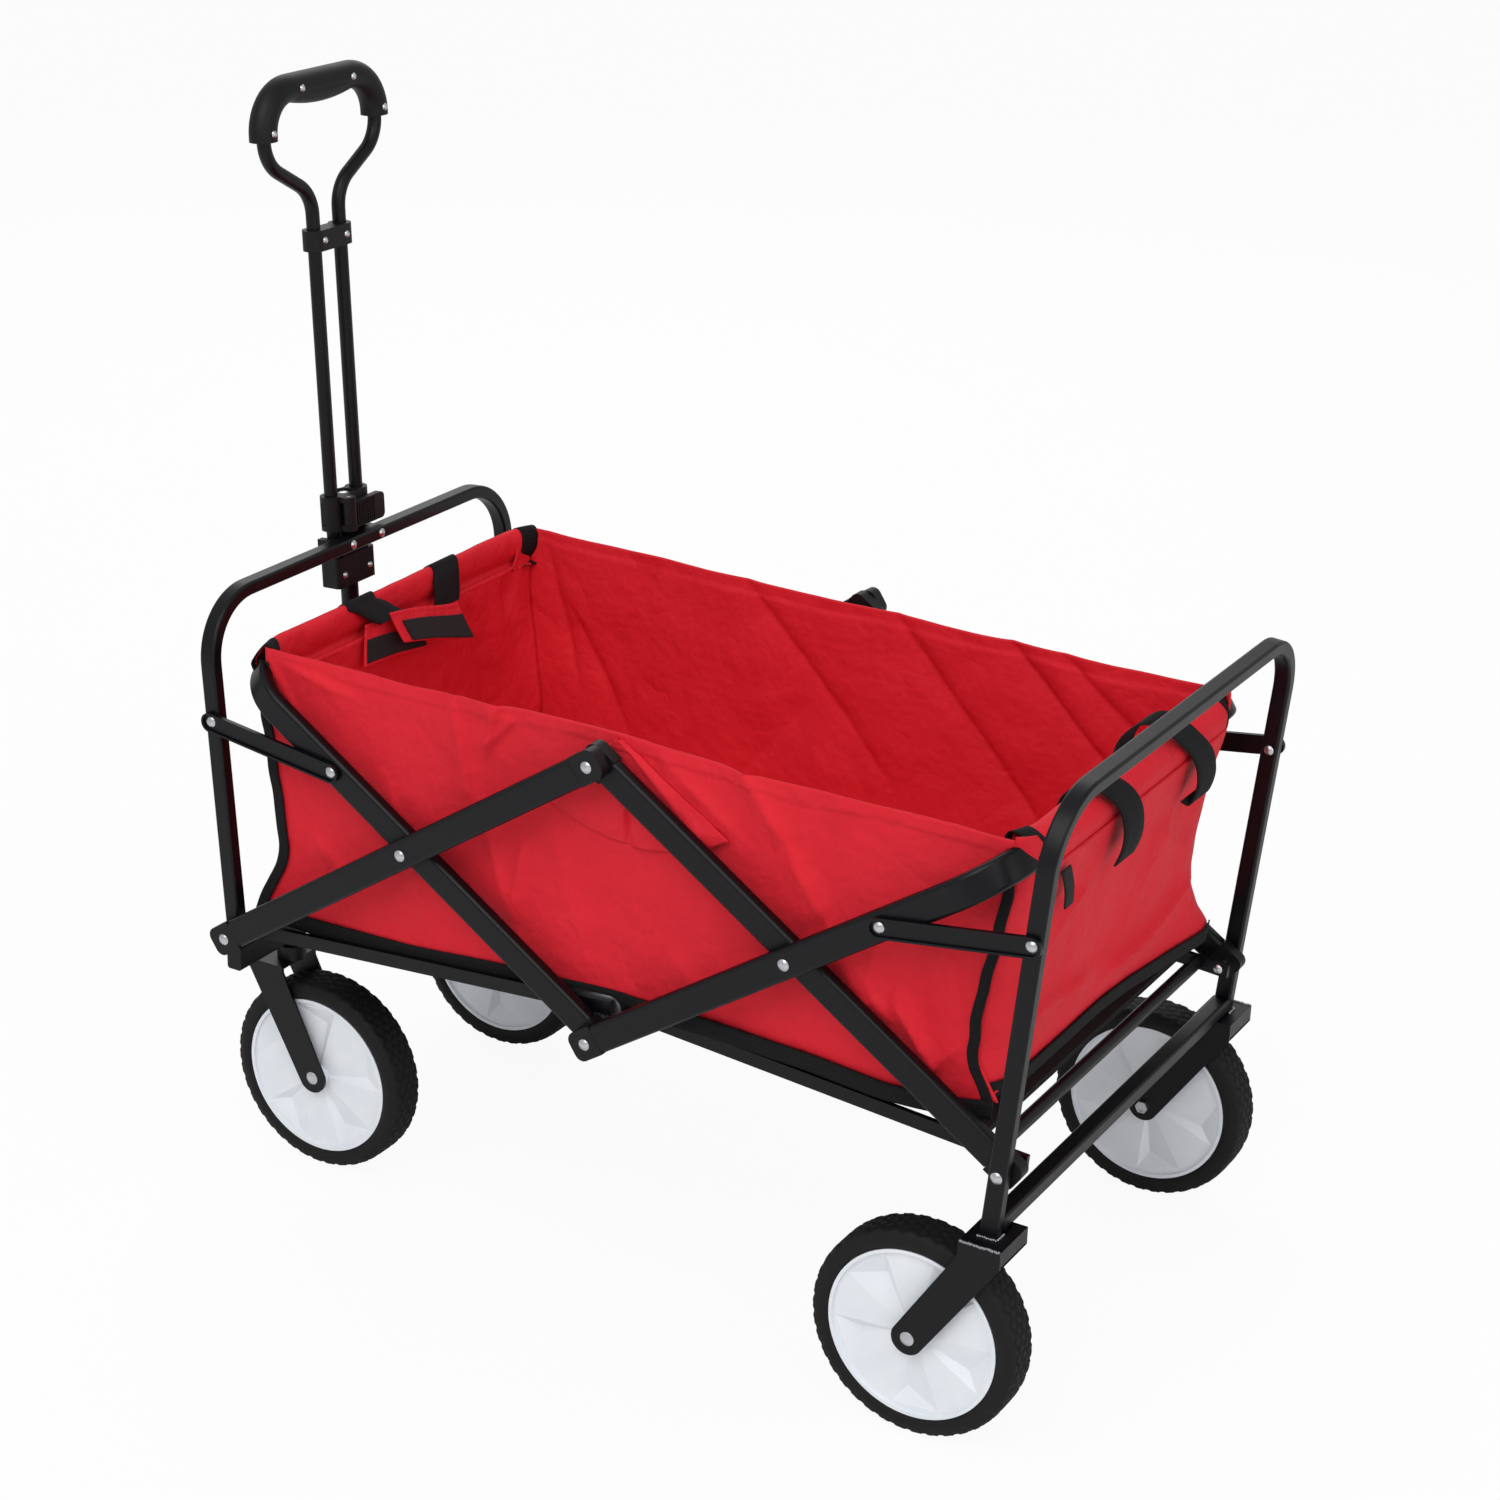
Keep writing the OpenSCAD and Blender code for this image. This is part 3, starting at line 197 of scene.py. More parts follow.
finish = {
    "steel": material("satin black powder coat", powderCoat, Specular_IOR_Level=0.26),
    "plastic": material("black moulded plastic", mouldedPlastic, Specular_IOR_Level=0.28),
    "zinc": material("zinc plated steel", zincPlate, Metallic=1.0),
    "disc": material("white moulded plastic", whitePlastic),
    "rubber": material("tyre rubber", tyreRubber, Specular_IOR_Level=0.25),
    "board": material("covered board", coveredBoard, Specular_IOR_Level=0.25),
    "weld": material("weld bead", beadPaintedHighlight, Metallic=1.0),
}
slotFinish = {"black_steel": "steel", "black_plastic": "plastic", "zinc_steel": "zinc",
              "white_plastic": "disc", "tyre_rubber": "rubber", "floor_board": "board"}
for part in frame["record"]["subparts"]:
    if part["material_slot"] in slotFinish:
        slots = frame["nodes"][part["node"]].data.materials
        slots.clear()
        slots.append(finish[slotFinish[part["material_slot"]]])
print("finishes on the frame:", len(finish))


# helpers for cloth pieces

smoothing = 0.35
crease = {"lift": 1.9, "gentleSide": 1.7, "steepSide": 0.55, "start": (0.08, 0.25), "end": (1.12, 0.4)}


def spot(x, y, z):
    # millimetres from the scissor's middle plane
    return Vector((midX + x / 1000, y / 1000, z / 1000))


def share(value):
    return max(0.0, min(1.0, value))


def between(table, x):
    # smooth reading of a short table of (place, value) pairs
    if x <= table[0][0]:
        return table[0][1]
    for (x0, y0), (x1, y1) in zip(table, table[1:]):
        if x <= x1:
            t = (x - x0) / (x1 - x0)
            return y0 + (y1 - y0) * (t * t * (3 - 2 * t) * smoothing + t * (1 - smoothing))
    return table[-1][1]


def ripple(a, b, side, layer):
    # a layer of noise is (period of a, period of b, seed, height)
    longA, longB, seed, high = layer
    return noise.noise(Vector((a / longA, b / longB, side * seed))) * high


def ripples(a, b, side, layers):
    total = 0.0
    for layer in layers:
        total += ripple(a, b, side, layer)
    return total


def creaseLift(px, pz, creases):
    # sharp folds pressed into the cloth: each is (x0, z0, x1, z1, lift, reach)
    lift = 0.0
    for x0, z0, x1, z1, high, reach in creases:
        dx, dz = x1 - x0, z1 - z0
        long = math.hypot(dx, dz)
        t = ((px - x0) * dx + (pz - z0) * dz) / long ** 2
        across = ((px - x0) * dz - (pz - z0) * dx) / long
        ends = (share((t + crease["start"][0]) / crease["start"][1])
                * share((crease["end"][0] - t) / crease["end"][1]))
        slope = reach * (crease["gentleSide"] if across > 0 else crease["steepSide"])
        lift += crease["lift"] * high * math.exp(-abs(across) / slope) * ends
    return lift


def newPiece(name, shape, look, smooth=True):
    mesh = bpy.data.meshes.new(name)
    shape.to_mesh(mesh)
    shape.free()
    mesh.materials.append(look)
    if smooth:
        for face in mesh.polygons:
            face.use_smooth = True
    made = bpy.data.objects.new(name, mesh)
    bpy.context.scene.collection.objects.link(made)
    return made


def clothGrid(columns, rows, place, size):
    # place(u, v) gives a point, size the cloth's flat width and height in metres
    shape = bmesh.new()
    bmesh.ops.create_grid(shape, x_segments=columns, y_segments=rows, size=0.5)
    layer = shape.loops.layers.uv.new("cloth")
    for face in shape.faces:
        for loop in face.loops:
            u, v = loop.vert.co.x + 0.5, loop.vert.co.y + 0.5
            loop[layer].uv = (u * size[0], (1 - v) * size[1])
    for vert in shape.verts:
        vert.co = place(vert.co.x + 0.5, vert.co.y + 0.5)
    return shape


def thicken(piece, wall, offset=0.0, rounds=0):
    modifier = piece.modifiers.new("wall", "SOLIDIFY")
    modifier.thickness = wall
    modifier.offset = offset
    if rounds:
        modifier = piece.modifiers.new("round", "SUBSURF")
        modifier.levels = modifier.render_levels = rounds
    return piece


def ribbon(name, line, width, look, wall=0.0012, steps=4, turn=None):
    # a tape along a line of points; turn(t) gives the direction across it
    shape = bmesh.new()
    count = (len(line) - 1) * steps
    bmesh.ops.create_grid(shape, x_segments=count, y_segments=4, size=0.5)
    layer = shape.loops.layers.uv.new("cloth")
    lengths = [0.0]
    for a, b in zip(line, line[1:]):
        lengths.append(lengths[-1] + (b - a).length)
    total = lengths[-1]

    def along(t):
        n = min(int(t * (len(line) - 1)), len(line) - 2)
        f = t * (len(line) - 1) - n
        p0, p1, p2, p3 = line[max(n - 1, 0)], line[n], line[n + 1], line[min(n + 2, len(line) - 1)]
        return 0.5 * ((2 * p1) + (p2 - p0) * f + (2 * p0 - 5 * p1 + 4 * p2 - p3) * f * f
                      + (3 * p1 - p0 - 3 * p2 + p3) * f ** 3)

    for face in shape.faces:
        for loop in face.loops:
            loop[layer].uv = ((loop.vert.co.x + 0.5) * total, (loop.vert.co.y + 0.5) * width)
    for vert in shape.verts:
        t, w = vert.co.x + 0.5, vert.co.y
        vert.co = along(t) + turn(t) * (w * width)
    return thicken(newPiece(name, shape, look), wall)


# cloth finishes

def wovenCloth(light, dark, stitch):
    # stitch is how far from the cloth's edge a line of thread runs
    def build():
        where = coordinates()
        along, down, _ = coordinates("UV").parts()
        warp = abs(along.wave(0.0018))
        weft = abs(down.wave(0.0018))
        weave = Socket.math("MAXIMUM", warp, weft)
        # broad mottle between the lighter and darker red: partly the cloth's own uneven tone, partly painted
        # highlight and painted shade of the crumpled cloth
        soft = cloud(where, 7, 5, 0.62)
        fuzz = cloud(where, 420, 2, 0.6)
        thread = abs(down - stitch)
        dash = along.wave(0.0055).above(-0.2, 0.4)
        seam = (1 - thread.above(0.0012, 0.001)) * dash
        tint = mixed(soft * 0.75 + fuzz * 0.25, dark, light)
        tint = mixed(seam * 0.16, tint, rgb(120, 12, 20))
        crumple = abs(cloud(where, 11, 4, 0.55) - 0.5)
        height = weave * 0.08 + cloud(where, 30, 4, 0.6) * 1.5 + crumple * 13 - seam * 0.3
        return {"Base Color": tint, "Roughness": 0.6 + fuzz * 0.16, "Normal": bump(height, 0.55, 0.0018)}
    return build


def webbing(light, dark):
    def build():
        along, across, _ = coordinates("UV").parts()
        ribs = abs(along.wave(0.0036))
        cords = abs(across.wave(0.0052))
        fuzz = cloud(coordinates(), 600, 3, 0.7)
        return {"Base Color": mixed(ribs * 0.6 + fuzz * 0.4, dark, light), "Roughness": 0.7 + fuzz * 0.2,
                "Normal": bump(ribs * 0.6 + cords * 0.5 + fuzz * 0.2, 0.6, 0.0008)}
    return build


def hookTape():
    pile = cloud(coordinates(), 900, 4, 0.75)
    return {"Base Color": mixed(pile, rgb(8, 8, 9), rgb(30, 30, 33)), "Roughness": 0.85,
            "Normal": bump(pile, 1.0, 0.0016)}


# the lighter red is partly a painted highlight and the darker red partly painted shade, mixed by the broad mottle
clothRedSheenAndShade = (rgb(230, 42, 56), rgb(203, 22, 38))
stitchLine = {"none": -1, "patch": 0.004}
cloth = {
    "red": material("red woven cloth", wovenCloth(*clothRedSheenAndShade, stitchLine["none"]), Specular_IOR_Level=0.2),
    "patch": material("red woven cloth with edge stitching", wovenCloth(*clothRedSheenAndShade, stitchLine["patch"]),
                      Specular_IOR_Level=0.2),
    "binding": material("black binding", webbing(rgb(24, 24, 26), rgb(10, 10, 11)), Specular_IOR_Level=0.2),
    "webbing": material("black webbing", webbing(rgb(30, 30, 33), rgb(9, 9, 10)), Specular_IOR_Level=0.2),
    "hooks": material("hook tape", hookTape),
}

# basket

basketPieces = []
wall = {
    "y": 195.5, "low": 270, "high": 508, "rows": 108, "columns": 300, "flat": (0.70, 0.235),
    "rim": [(-350, 509), (-343, 508), (-260, 506), (-200, 505.5), (-142, 510), (-73, 511), (0, 511),
            (117, 505), (222, 505), (366, 504)],
    "farRim": [(-350, 508), (-223, 506), (0, 502.5), (146, 499.5), (333, 498.5), (366, 503)],
    "bottom": [(-360, 269), (-298, 267), (-205, 269.5), (-100, 278), (0, 284), (100, 284), (178, 281),
               (259, 275), (300, 277), (350, 286)],
    # corner seams, from the bottom up: (height, x)
    "front": [(262, -359), (270, -357), (282, -352), (298, -341), (318, -332), (340, -331), (383, -337),
              (445, -345), (508, -345)],
    "rear": [(270, 352), (288, 343), (306, 334), (325, 329), (370, 333), (400, 340), (430, 346), (468, 351),
             (508, 353)],
    "swell": 2.6, "sink": 2.0, "mostSwell": 10.0, "bow": (0.92, 0.12),
    "ripples": [(95, 130, 7.3, 3.6), (42, 70, 3.1, 1.5), (17, 26, 5.7, 0.45)],
    # how fast the folds fade towards the ends and the bottom
    "fade": {"ends": 14, "bottom": 7, "least": 0.15},
    # the turned hem under the rim
    "hem": {"depth": 13, "sway": 4, "period": 70, "seed": 2.0, "narrowing": 6, "narrowEnd": 8, "stand": 1.5,
            "step": 2.2, "ends": 30},
    "rimBulge": {"x": -118, "reach": 26, "high": 4.0, "from": 0.9, "over": 0.1},
}
nearCreases = [
    (118, 512, 165, 450, 4.0, 9), (165, 450, 205, 395, 4.6, 10), (205, 395, 262, 330, 4.0, 12),
    (-345, 508, -318, 410, 5.0, 6), (-345, 508, -296, 430, 3.6, 7), (-343, 504, -250, 480, 3.4, 8),
    (-338, 500, -300, 380, 3.0, 9), (-150, 508, -128, 400, 3.6, 8), (-128, 440, -96, 330, 3.2, 10),
    (-104, 512, -118, 462, 3.2, 5), (-92, 500, -120, 470, 2.6, 4), (-300, 350, -240, 300, 3.4, 12),
    (-60, 440, -20, 300, 2.2, 20), (-80, 400, -95, 320, 2.6, 8), (60, 330, 110, 300, 2.4, 12),
    (262, 356, 300, 300, 5.5, 8), (300, 430, 322, 330, 4.2, 9), (322, 330, 290, 292, 4.0, 8),
    (120, 330, 60, 292, 2.6, 12), (40, 505, 130, 440, 2.2, 14), (250, 420, 230, 300, 2.6, 12),
    (-220, 420, -180, 300, 2.2, 16),
]
farCreases = [
    (-110, 506, 40, 345, 3.6, 12), (40, 505, 225, 300, 4.4, 12), (150, 505, 330, 330, 4.6, 10),
    (205, 500, 320, 410, 3.4, 10), (-325, 500, -290, 360, 4.0, 9), (-300, 440, -235, 330, 3.4, 12),
    (-200, 500, -260, 380, 2.8, 14), (330, 480, 290, 300, 3.4, 12), (-40, 400, -120, 300, 2.8, 14),
]


def panelSwell(side, x, z, u, v):
    # how far a side panel stands off its flat plane
    fade, hem, bulge = wall["fade"], wall["hem"], wall["rimBulge"]
    rim, creases = (wall["rim"], nearCreases) if side < 0 else (wall["farRim"], farCreases)
    edge = (math.sin(math.pi * share(u)) ** 0.5
            * math.sin(math.pi * share(v) * wall["bow"][0] + wall["bow"][1]))
    free = min(1.0, u * fade["ends"], (1 - u) * fade["ends"]) * min(1.0, v * fade["bottom"] + fade["least"])
    waves = ripples(x, z, side, wall["ripples"])
    out = wall["swell"] * edge + (waves + creaseLift(x, z, creases) - wall["sink"]) * free
    below = between(rim, x) - z
    sway = hem["sway"] * noise.noise(Vector((x / hem["period"], 0, side * hem["seed"])))
    turned = hem["depth"] + sway - hem["narrowing"] * max(0.0, 1 - u * hem["narrowEnd"])
    out += (hem["stand"] * share((turned - below) / hem["step"])
            * min(1.0, u * hem["ends"], (1 - u) * hem["ends"]))
    if v > bulge["from"] and side < 0:
        hump = math.exp(-((x - bulge["x"]) / bulge["reach"]) ** 2)
        out += bulge["high"] * hump * (v - bulge["from"]) / bulge["over"]
    return min(out, wall["mostSwell"])


def sidePlace(side):
    rim = wall["rim"] if side < 0 else wall["farRim"]

    def place(u, v):
        height = wall["low"] + (wall["high"] - wall["low"]) * v
        x0, x1 = between(wall["front"], height), between(wall["rear"], height)
        x = x0 + (x1 - x0) * u
        low, high = between(wall["bottom"], x), between(rim, x)
        z = low + (high - low) * v
        return spot(x, side * (wall["y"] + panelSwell(side, x, z, u, v)), z)
    return place


def asSheet(piece, flat, held, rests, **more):
    return piece


def addPanel(name, shape, look, flat, held, rests, thick=0.0016, **more):
    # a piece of the basket's cloth: it moves with the basket
    piece = thicken(newPiece(name, shape, look), thick)
    basketPieces.append(piece)
    return asSheet(piece, flat, held, rests, **more)


for side, name in ((-1, "basketSideLeft"), (1, "basketSideRight")):
    shape = clothGrid(wall["columns"], wall["rows"], sidePlace(side), wall["flat"])
    addPanel(name, shape, cloth["red"], wall["flat"], "stretched", ["front_rim_tube", "rear_rim_tube"])

frontFolds = [(90, 470, 150, 330, 3.6, 12), (-120, 480, -60, 300, 3.0, 14), (150, 490, 180, 380, 3.4, 8),
              (170, 500, 160, 430, 3.6, 6), (120, 440, 175, 300, 2.8, 10)]
rearFolds = [(-150, 480, -165, 330, 3.6, 9), (-170, 345, -20, 330, 4.4, 12), (-20, 318, 180, 335, 5.0, 9),
             (100, 450, 20, 340, 2.4, 20), (-60, 450, -150, 380, 2.8, 12), (60, 420, 170, 360, 2.4, 14),
             (-90, 430, -60, 360, 2.0, 12)]
endWall = {
    "flat": (0.39, 0.21), "columns": 96, "rows": 60, "rim": 507, "corner": (168, 14),
    "ripples": [(90, 80, 5.0, 4.0), (34, 60, 9.0, 1.3), (15, 22, 3.0, 0.4)],
    "fade": {"sides": 10, "top": 8, "bottom": 6, "least": 0.08},
}
ends = {
    -1: {"folds": frontFolds, "profile": [(270, -354), (300, -347), (400, -345.5), (478, -345), (508, -346)],
         "top": 477, "bottom": [(-195, 272), (195, 272)], "tight": 9},
    1: {"folds": rearFolds,
        "profile": [(285, 354), (300, 351), (330, 350), (430, 357.5), (446, 362.5), (456, 366), (463, 368.4),
                    (470, 370.6), (478, 372.6), (508, 372.6)],
        "top": 478, "bottom": [(-195, 297), (-20, 298), (100, 292), (195, 287)], "tight": 14,
        "flare": {"out": 12, "y": 40, "across": 155, "z": 330, "down": 40}},
}


def endPlace(way):
    # way is -1 for the handle end
    end, seam = ends[way], wall["front"] if way < 0 else wall["rear"]
    fade = endWall["fade"]

    def place(u, v):
        y = -wall["y"] + 2 * wall["y"] * u
        corner = share((abs(y) - endWall["corner"][0]) / endWall["corner"][1])
        bottom = between(end["bottom"], y)
        top = end["top"] + (endWall["rim"] - end["top"]) * corner
        z = bottom + (top - bottom) * v
        side, middle = between(seam, z), between(end["profile"], z)
        x = middle + (side - middle) * abs(2 * u - 1) ** end["tight"]
        free = (min(1.0, u * fade["sides"], (1 - u) * fade["sides"]) * min(1.0, (1 - v) * fade["top"])
                * min(1.0, v * fade["bottom"] + fade["least"]))
        out = (ripples(y, z, way, endWall["ripples"]) + creaseLift(y, z, end["folds"])) * free
        if "flare" in end:
            flare = end["flare"]
            out += flare["out"] * (max(0.0, (y - flare["y"]) / flare["across"])
                                   * max(0.0, (flare["z"] - z) / flare["down"]))
        return spot(x + way * out, y, z)
    return place


for way, name, tube in ((-1, "basketFront", "front_rim_tube"), (1, "basketRear", "rear_rim_tube")):
    shape = clothGrid(endWall["columns"], endWall["rows"], endPlace(way), endWall["flat"])
    addPanel(name, shape, cloth["red"], endWall["flat"], "hung", [tube])

lining = {
    "flat": (0.70, 0.39), "columns": 90, "rows": 40, "x": 347, "y": 194,
    # it lies on the boards, which rise towards the middle, and turns up at the rear end
    "level": 265.4, "foot": 349, "slope": 0.0752, "clear": 2.8,
    "sag": 0.5, "period": 120, "seed": 2.0, "turnUp": 23, "turnFrom": 316, "turnReach": 31,
}


def floorPlace(u, v):
    x, y = -lining["x"] + 2 * lining["x"] * u, -lining["y"] + 2 * lining["y"] * v
    sag = noise.noise(Vector((x / lining["period"], y / lining["period"], lining["seed"]))) * lining["sag"]
    rise = lining["turnUp"] * max(0.0, (x - lining["turnFrom"]) / lining["turnReach"]) ** 2
    z = lining["level"] + (lining["foot"] - abs(x)) * lining["slope"] + lining["clear"] + sag + rise
    return spot(x, y, z)


shape = clothGrid(lining["columns"], lining["rows"], floorPlace, lining["flat"])
basketFloor = addPanel("basketFloor", shape, cloth["red"], lining["flat"], "laid",
                       ["floor_board_front", "floor_board_rear"])

# sewn patch on the near panel, slit down the middle

patch = {
    "apex": (8, 508), "left": (-68, 446), "right": (111, 445), "tip": 0.02,
    "sag": 27, "stand": 1.7, "least": -0.9,
    "grid": (130, 60), "weave": (0.13, 0.085), "flat": (0.18, 0.09), "area": 0.0081,
    "raise": 3.3, "leftEdge": 7, "rightEdge": 9, "lowEdge": 8, "lowLeast": 0.15,
    "slit": {"x": 18, "deep": 4.0, "half": 2.6, "top": 460, "run": 12},
    "flap": {"lift": 1.8, "from": 3, "over": 3, "top": 456, "run": 10},
    "pucker": {"lift": 3.2, "u": 0.90, "half": 0.06},
    # where the patch lies on the panel's own measures
    "panel": {"x": -345, "long": 692, "z": 284, "high": 226},
}


def patchPlace(u, v):
    slit, flap, pucker, panel = patch["slit"], patch["flap"], patch["pucker"], patch["panel"]
    down = patch["tip"] + (1 - patch["tip"]) * (1 - v)
    ax, az = patch["apex"]
    x0, z0 = ax + (patch["left"][0] - ax) * down, az + (patch["left"][1] - az) * down
    x1, z1 = ax + (patch["right"][0] - ax) * down, az + (patch["right"][1] - az) * down
    x, z = x0 + (x1 - x0) * u, z0 + (z1 - z0) * u - patch["sag"] * 4 * u * (1 - u) * down ** 2
    rise = (patch["raise"] * min(1.0, u * patch["leftEdge"], (1 - u) * patch["rightEdge"])
            * min(1.0, (1 - down) * patch["lowEdge"] + patch["lowLeast"]))
    rise -= (slit["deep"] * math.exp(-((x - slit["x"]) / slit["half"]) ** 2)
             * share((slit["top"] - z) / slit["run"]))
    beside = share((x - slit["x"] - flap["from"]) / flap["over"])
    rise += flap["lift"] * beside * share((flap["top"] - z) / flap["run"])
    rise += pucker["lift"] * math.exp(-((u - pucker["u"]) / pucker["half"]) ** 2) * down
    skin = panelSwell(-1, x, z, (x - panel["x"]) / panel["long"], (z - panel["z"]) / panel["high"])
    return spot(x, -(wall["y"] + skin + patch["stand"] + max(rise, patch["least"])), z)


addPanel("sidePatch", clothGrid(*patch["grid"], patchPlace, patch["weave"]), cloth["patch"], patch["flat"],
         "stretched", ["basketSideLeft"], area=patch["area"])

# hem sleeves over the rim tubes

hem = {
    "ring": 36, "along": 110, "gap": 1.6, "thick": 0.0014, "flat": (0.352, 0.085),
    # the tube inside: its lean, its place and half of its two sizes, with the cloth's ease round it
    "lean": 33.7, "reach": 357.7, "level": 487.8, "tube": (6, 12.5), "ease": (2.0, 0.6),
    # the seam below is pinched flat, and the mouth at each end is a little wider
    "pinch": 2.2, "flatten": 0.86, "mouth": 26, "mouthSwell": 0.10, "mouthShift": 5, "lift": 1.0,
    "ripples": [(60, 14, 4.0, 1.5), (22, 20, 1, 0.8), (11, 12, 2.0, 0.3)],
}
sleeves = {
    -1: {"drop": 15, "inset": 13.5, "loft": 8.0, "end": 190, "sway": 0.9, "bulge": 0.0},
    1: {"drop": 32, "inset": 4.6, "loft": 2.0, "end": 176, "sway": 0.5, "bulge": 5.0},
}
bands = {"long": 0.012, "columns": 4, "grow": 0.9, "flat": (0.018, 0.09),
         "ends": {"Left": (-0.016, 0.028), "Right": (0.972, 1.016)}}


def sleevePlace(way, grow=0.0, first=0.0, last=1.0):
    sleeve = sleeves[way]
    lean = math.radians(hem["lean"]) * -way
    wide, tall = (half + hem["gap"] + ease + grow for half, ease in zip(hem["tube"], hem["ease"]))

    def place(u, v):
        y = -sleeve["end"] + 2 * sleeve["end"] * (first + (last - first) * u)
        a = v * 2 * math.pi
        pull = max(0.0, math.cos(a)) ** hem["pinch"]
        across, up = -math.sin(a) * wide * (1 - hem["flatten"] * pull), -math.cos(a) * tall
        coarse, middle, fine = hem["ripples"]
        sway = ripple(y, across, way, coarse) + ripple(y, up, way, middle) + ripple(y, up, way, fine)
        nearEnd = max(0.0, (abs(y) - (sleeve["end"] - hem["mouth"])) / hem["mouth"])
        swell = 1.0 + hem["mouthSwell"] * nearEnd
        turned = (across * math.cos(lean) + up * math.sin(lean) * 0.9) * swell * (1 - pull)
        raised = (up * math.cos(lean) - across * math.sin(lean) * 0.6) * (1 - pull) - pull * sleeve["drop"]
        loft = sleeve["loft"] * max(0.0, up / tall) ** 2
        turned += sleeve["bulge"] * math.sin(math.pi * max(0.0, 2 * v - 1) ** 1.5)
        x = (hem["reach"] * way + turned + pull * sleeve["inset"] - nearEnd ** 2 * hem["mouthShift"] * way
             + sway * (1 - pull) * sleeve["sway"])
        return spot(x, y, hem["level"] + raised + loft + hem["lift"])
    return place


def onRim(piece, body):
    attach(piece, body)
    return piece


def addSleeve(name, shape, look, flat, body):
    # the grid is joined where it comes round to its own start
    bmesh.ops.remove_doubles(shape, verts=shape.verts, dist=0.0001)
    piece = onRim(thicken(newPiece(name, shape, look), hem["thick"]), body)
    asSheet(piece, flat, "folded", [body + "_tube"])


for way, name, body in ((-1, "frontSleeve", "front_rim"), (1, "rearSleeve", "rear_rim")):
    shape = clothGrid(hem["along"], hem["ring"], sleevePlace(way), hem["flat"])
    addSleeve(name, shape, cloth["red"], hem["flat"], body)
    for tag, (first, last) in bands["ends"].items():
        place = sleevePlace(way, bands["grow"], first, last)
        shape = clothGrid(bands["columns"], hem["ring"], place, (bands["long"], hem["flat"][1]))
        addSleeve(name + "Band" + tag, shape, cloth["binding"], bands["flat"], body)

# black binding down the corners and round the bottom

leastFlat = (0.011, 0.0101)


def across(x, y, z):
    direction = Vector((x, y, z))
    return lambda t: direction


def binding(name, points, width, turn, thick=0.0013, body=None, look="binding", held="stretched"):
    line = [point if isinstance(point, Vector) else spot(*point) for point in points]
    long = sum((b - a).length for a, b in zip(line, line[1:]))
    tape = ribbon(name, line, width, cloth[look], thick, 6, turn)
    asSheet(tape, (max(long, leastFlat[0]), max(width, leastFlat[1])), held, ["basket"])
    if body:
        return onRim(tape, body)
    basketPieces.append(tape)
    return tape


seamTape = {"steps": 14, "sway": 1.0, "swayStep": 2.1, "turn": 0.2, "reach": {-1: (262, 496), 1: (282, 474)}}
corners = {
    "NearFront": {"way": -1, "side": -1, "width": 0.0115, "stand": 2.2},
    "NearRear": {"way": 1, "side": -1, "width": 0.0085, "stand": 2.4},
    "FarFront": {"way": -1, "side": 1, "width": 0.010, "stand": 2.0},
    "FarRear": {"way": 1, "side": 1, "width": 0.010, "stand": 2.0},
}
for name, corner in corners.items():
    way, side = corner["way"], corner["side"]
    seam = wall["front"] if way < 0 else wall["rear"]
    low, high = seamTape["reach"][way]
    points = []
    for n in range(seamTape["steps"] + 1):
        height = low + (high - low) * n / seamTape["steps"]
        sway = seamTape["sway"] * math.sin(n * seamTape["swayStep"])
        points.append((between(seam, height) + sway, side * (wall["y"] + corner["stand"]), height))
    binding("seam" + name, points, corner["width"], across(1, -seamTape["turn"] * side * way, 0))

bottomBand = {
    "side": {"width": 0.015, "from": 0.003, "run": 0.994, "steps": 36, "extraFrom": 19, "extra": 0.0022},
    "end": {"width": 0.013, "from": 0.006, "run": 0.988, "steps": 24, "lift": 0.001, "turn": 0.1},
    "drop": 0.0054, "stand": 0.0024,
}
band = bottomBand["side"]
for side, name in ((-1, "hemNear"), (1, "hemFar")):
    place, points = sidePlace(side), []
    for n in range(band["steps"] + 1):
        stand = bottomBand["stand"] + (band["extra"] if n > band["extraFrom"] else 0)
        point = place(band["from"] + band["run"] * n / band["steps"], 0.0)
        points.append(point + Vector((0, side * stand, -bottomBand["drop"])))
    binding(name, points, band["width"], across(0, 0, 1))
band = bottomBand["end"]
for way, name in ((-1, "hemFront"), (1, "hemRear")):
    place = endPlace(way)
    shift = Vector((way * bottomBand["stand"], 0, -bottomBand["drop"] + band["lift"]))
    points = [place(band["from"] + band["run"] * n / band["steps"], 0.0) + shift
              for n in range(band["steps"] + 1)]
    binding(name, points, band["width"], across(band["turn"] * way, 0, 1))

# straps of webbing over the rim tubes: points from the inside of the basket outwards

overRim = {"grow": 2.3, "turns": (0.2, 0.28, 0.36, 0.43, 0.5, 0.57)}


def hugging(way, y):
    # points on the outside of a sleeve, at shares of one turn round its tube
    place, end = sleevePlace(way, overRim["grow"]), sleeves[way]["end"]
    return [place((y + end) / (2 * end), turn) for turn in overRim["turns"]]


straps = {
    "rearStrapNear": {"body": "rear_rim", "width": 0.031, "line": [
        (346, -92, 474), (344, -90, 493), (348, -86, 507), (357, -79, 511.5), (367, -69, 509),
        (376, -58, 499), (382, -50, 485), (384, -47, 468), (382, -46, 453), (377, -46, 440)]},
    "rearStrapFar": {"body": "rear_rim", "width": 0.031, "line": [
        (344, 14, 482), (343, 17, 506), (348, 24, 520), (357, 37, 526), (366, 54, 518), (374, 73, 502),
        (381, 92, 482), (383, 99, 463), (381, 100, 449), (377, 98, 440), (372, 93, 444)]},
    "frontStrapNear": {"body": "front_rim", "width": 0.036, "line":
                       hugging(-1, -62) + [spot(-342, -55, 503), spot(-336, -47, 496), spot(-330, -38, 490)]},
    "frontStrapFar": {"body": "front_rim", "width": 0.034, "line":
                      hugging(-1, 62) + [spot(-343, 59, 499), spot(-341, 57, 486), spot(-340, 55, 473)]},
}
strapThick = 0.0016
for name, strap in straps.items():
    turn = across(0.06, 1, 0.05)
    binding(name, strap["line"], strap["width"], turn, strapThick, strap["body"], "webbing", "hung")
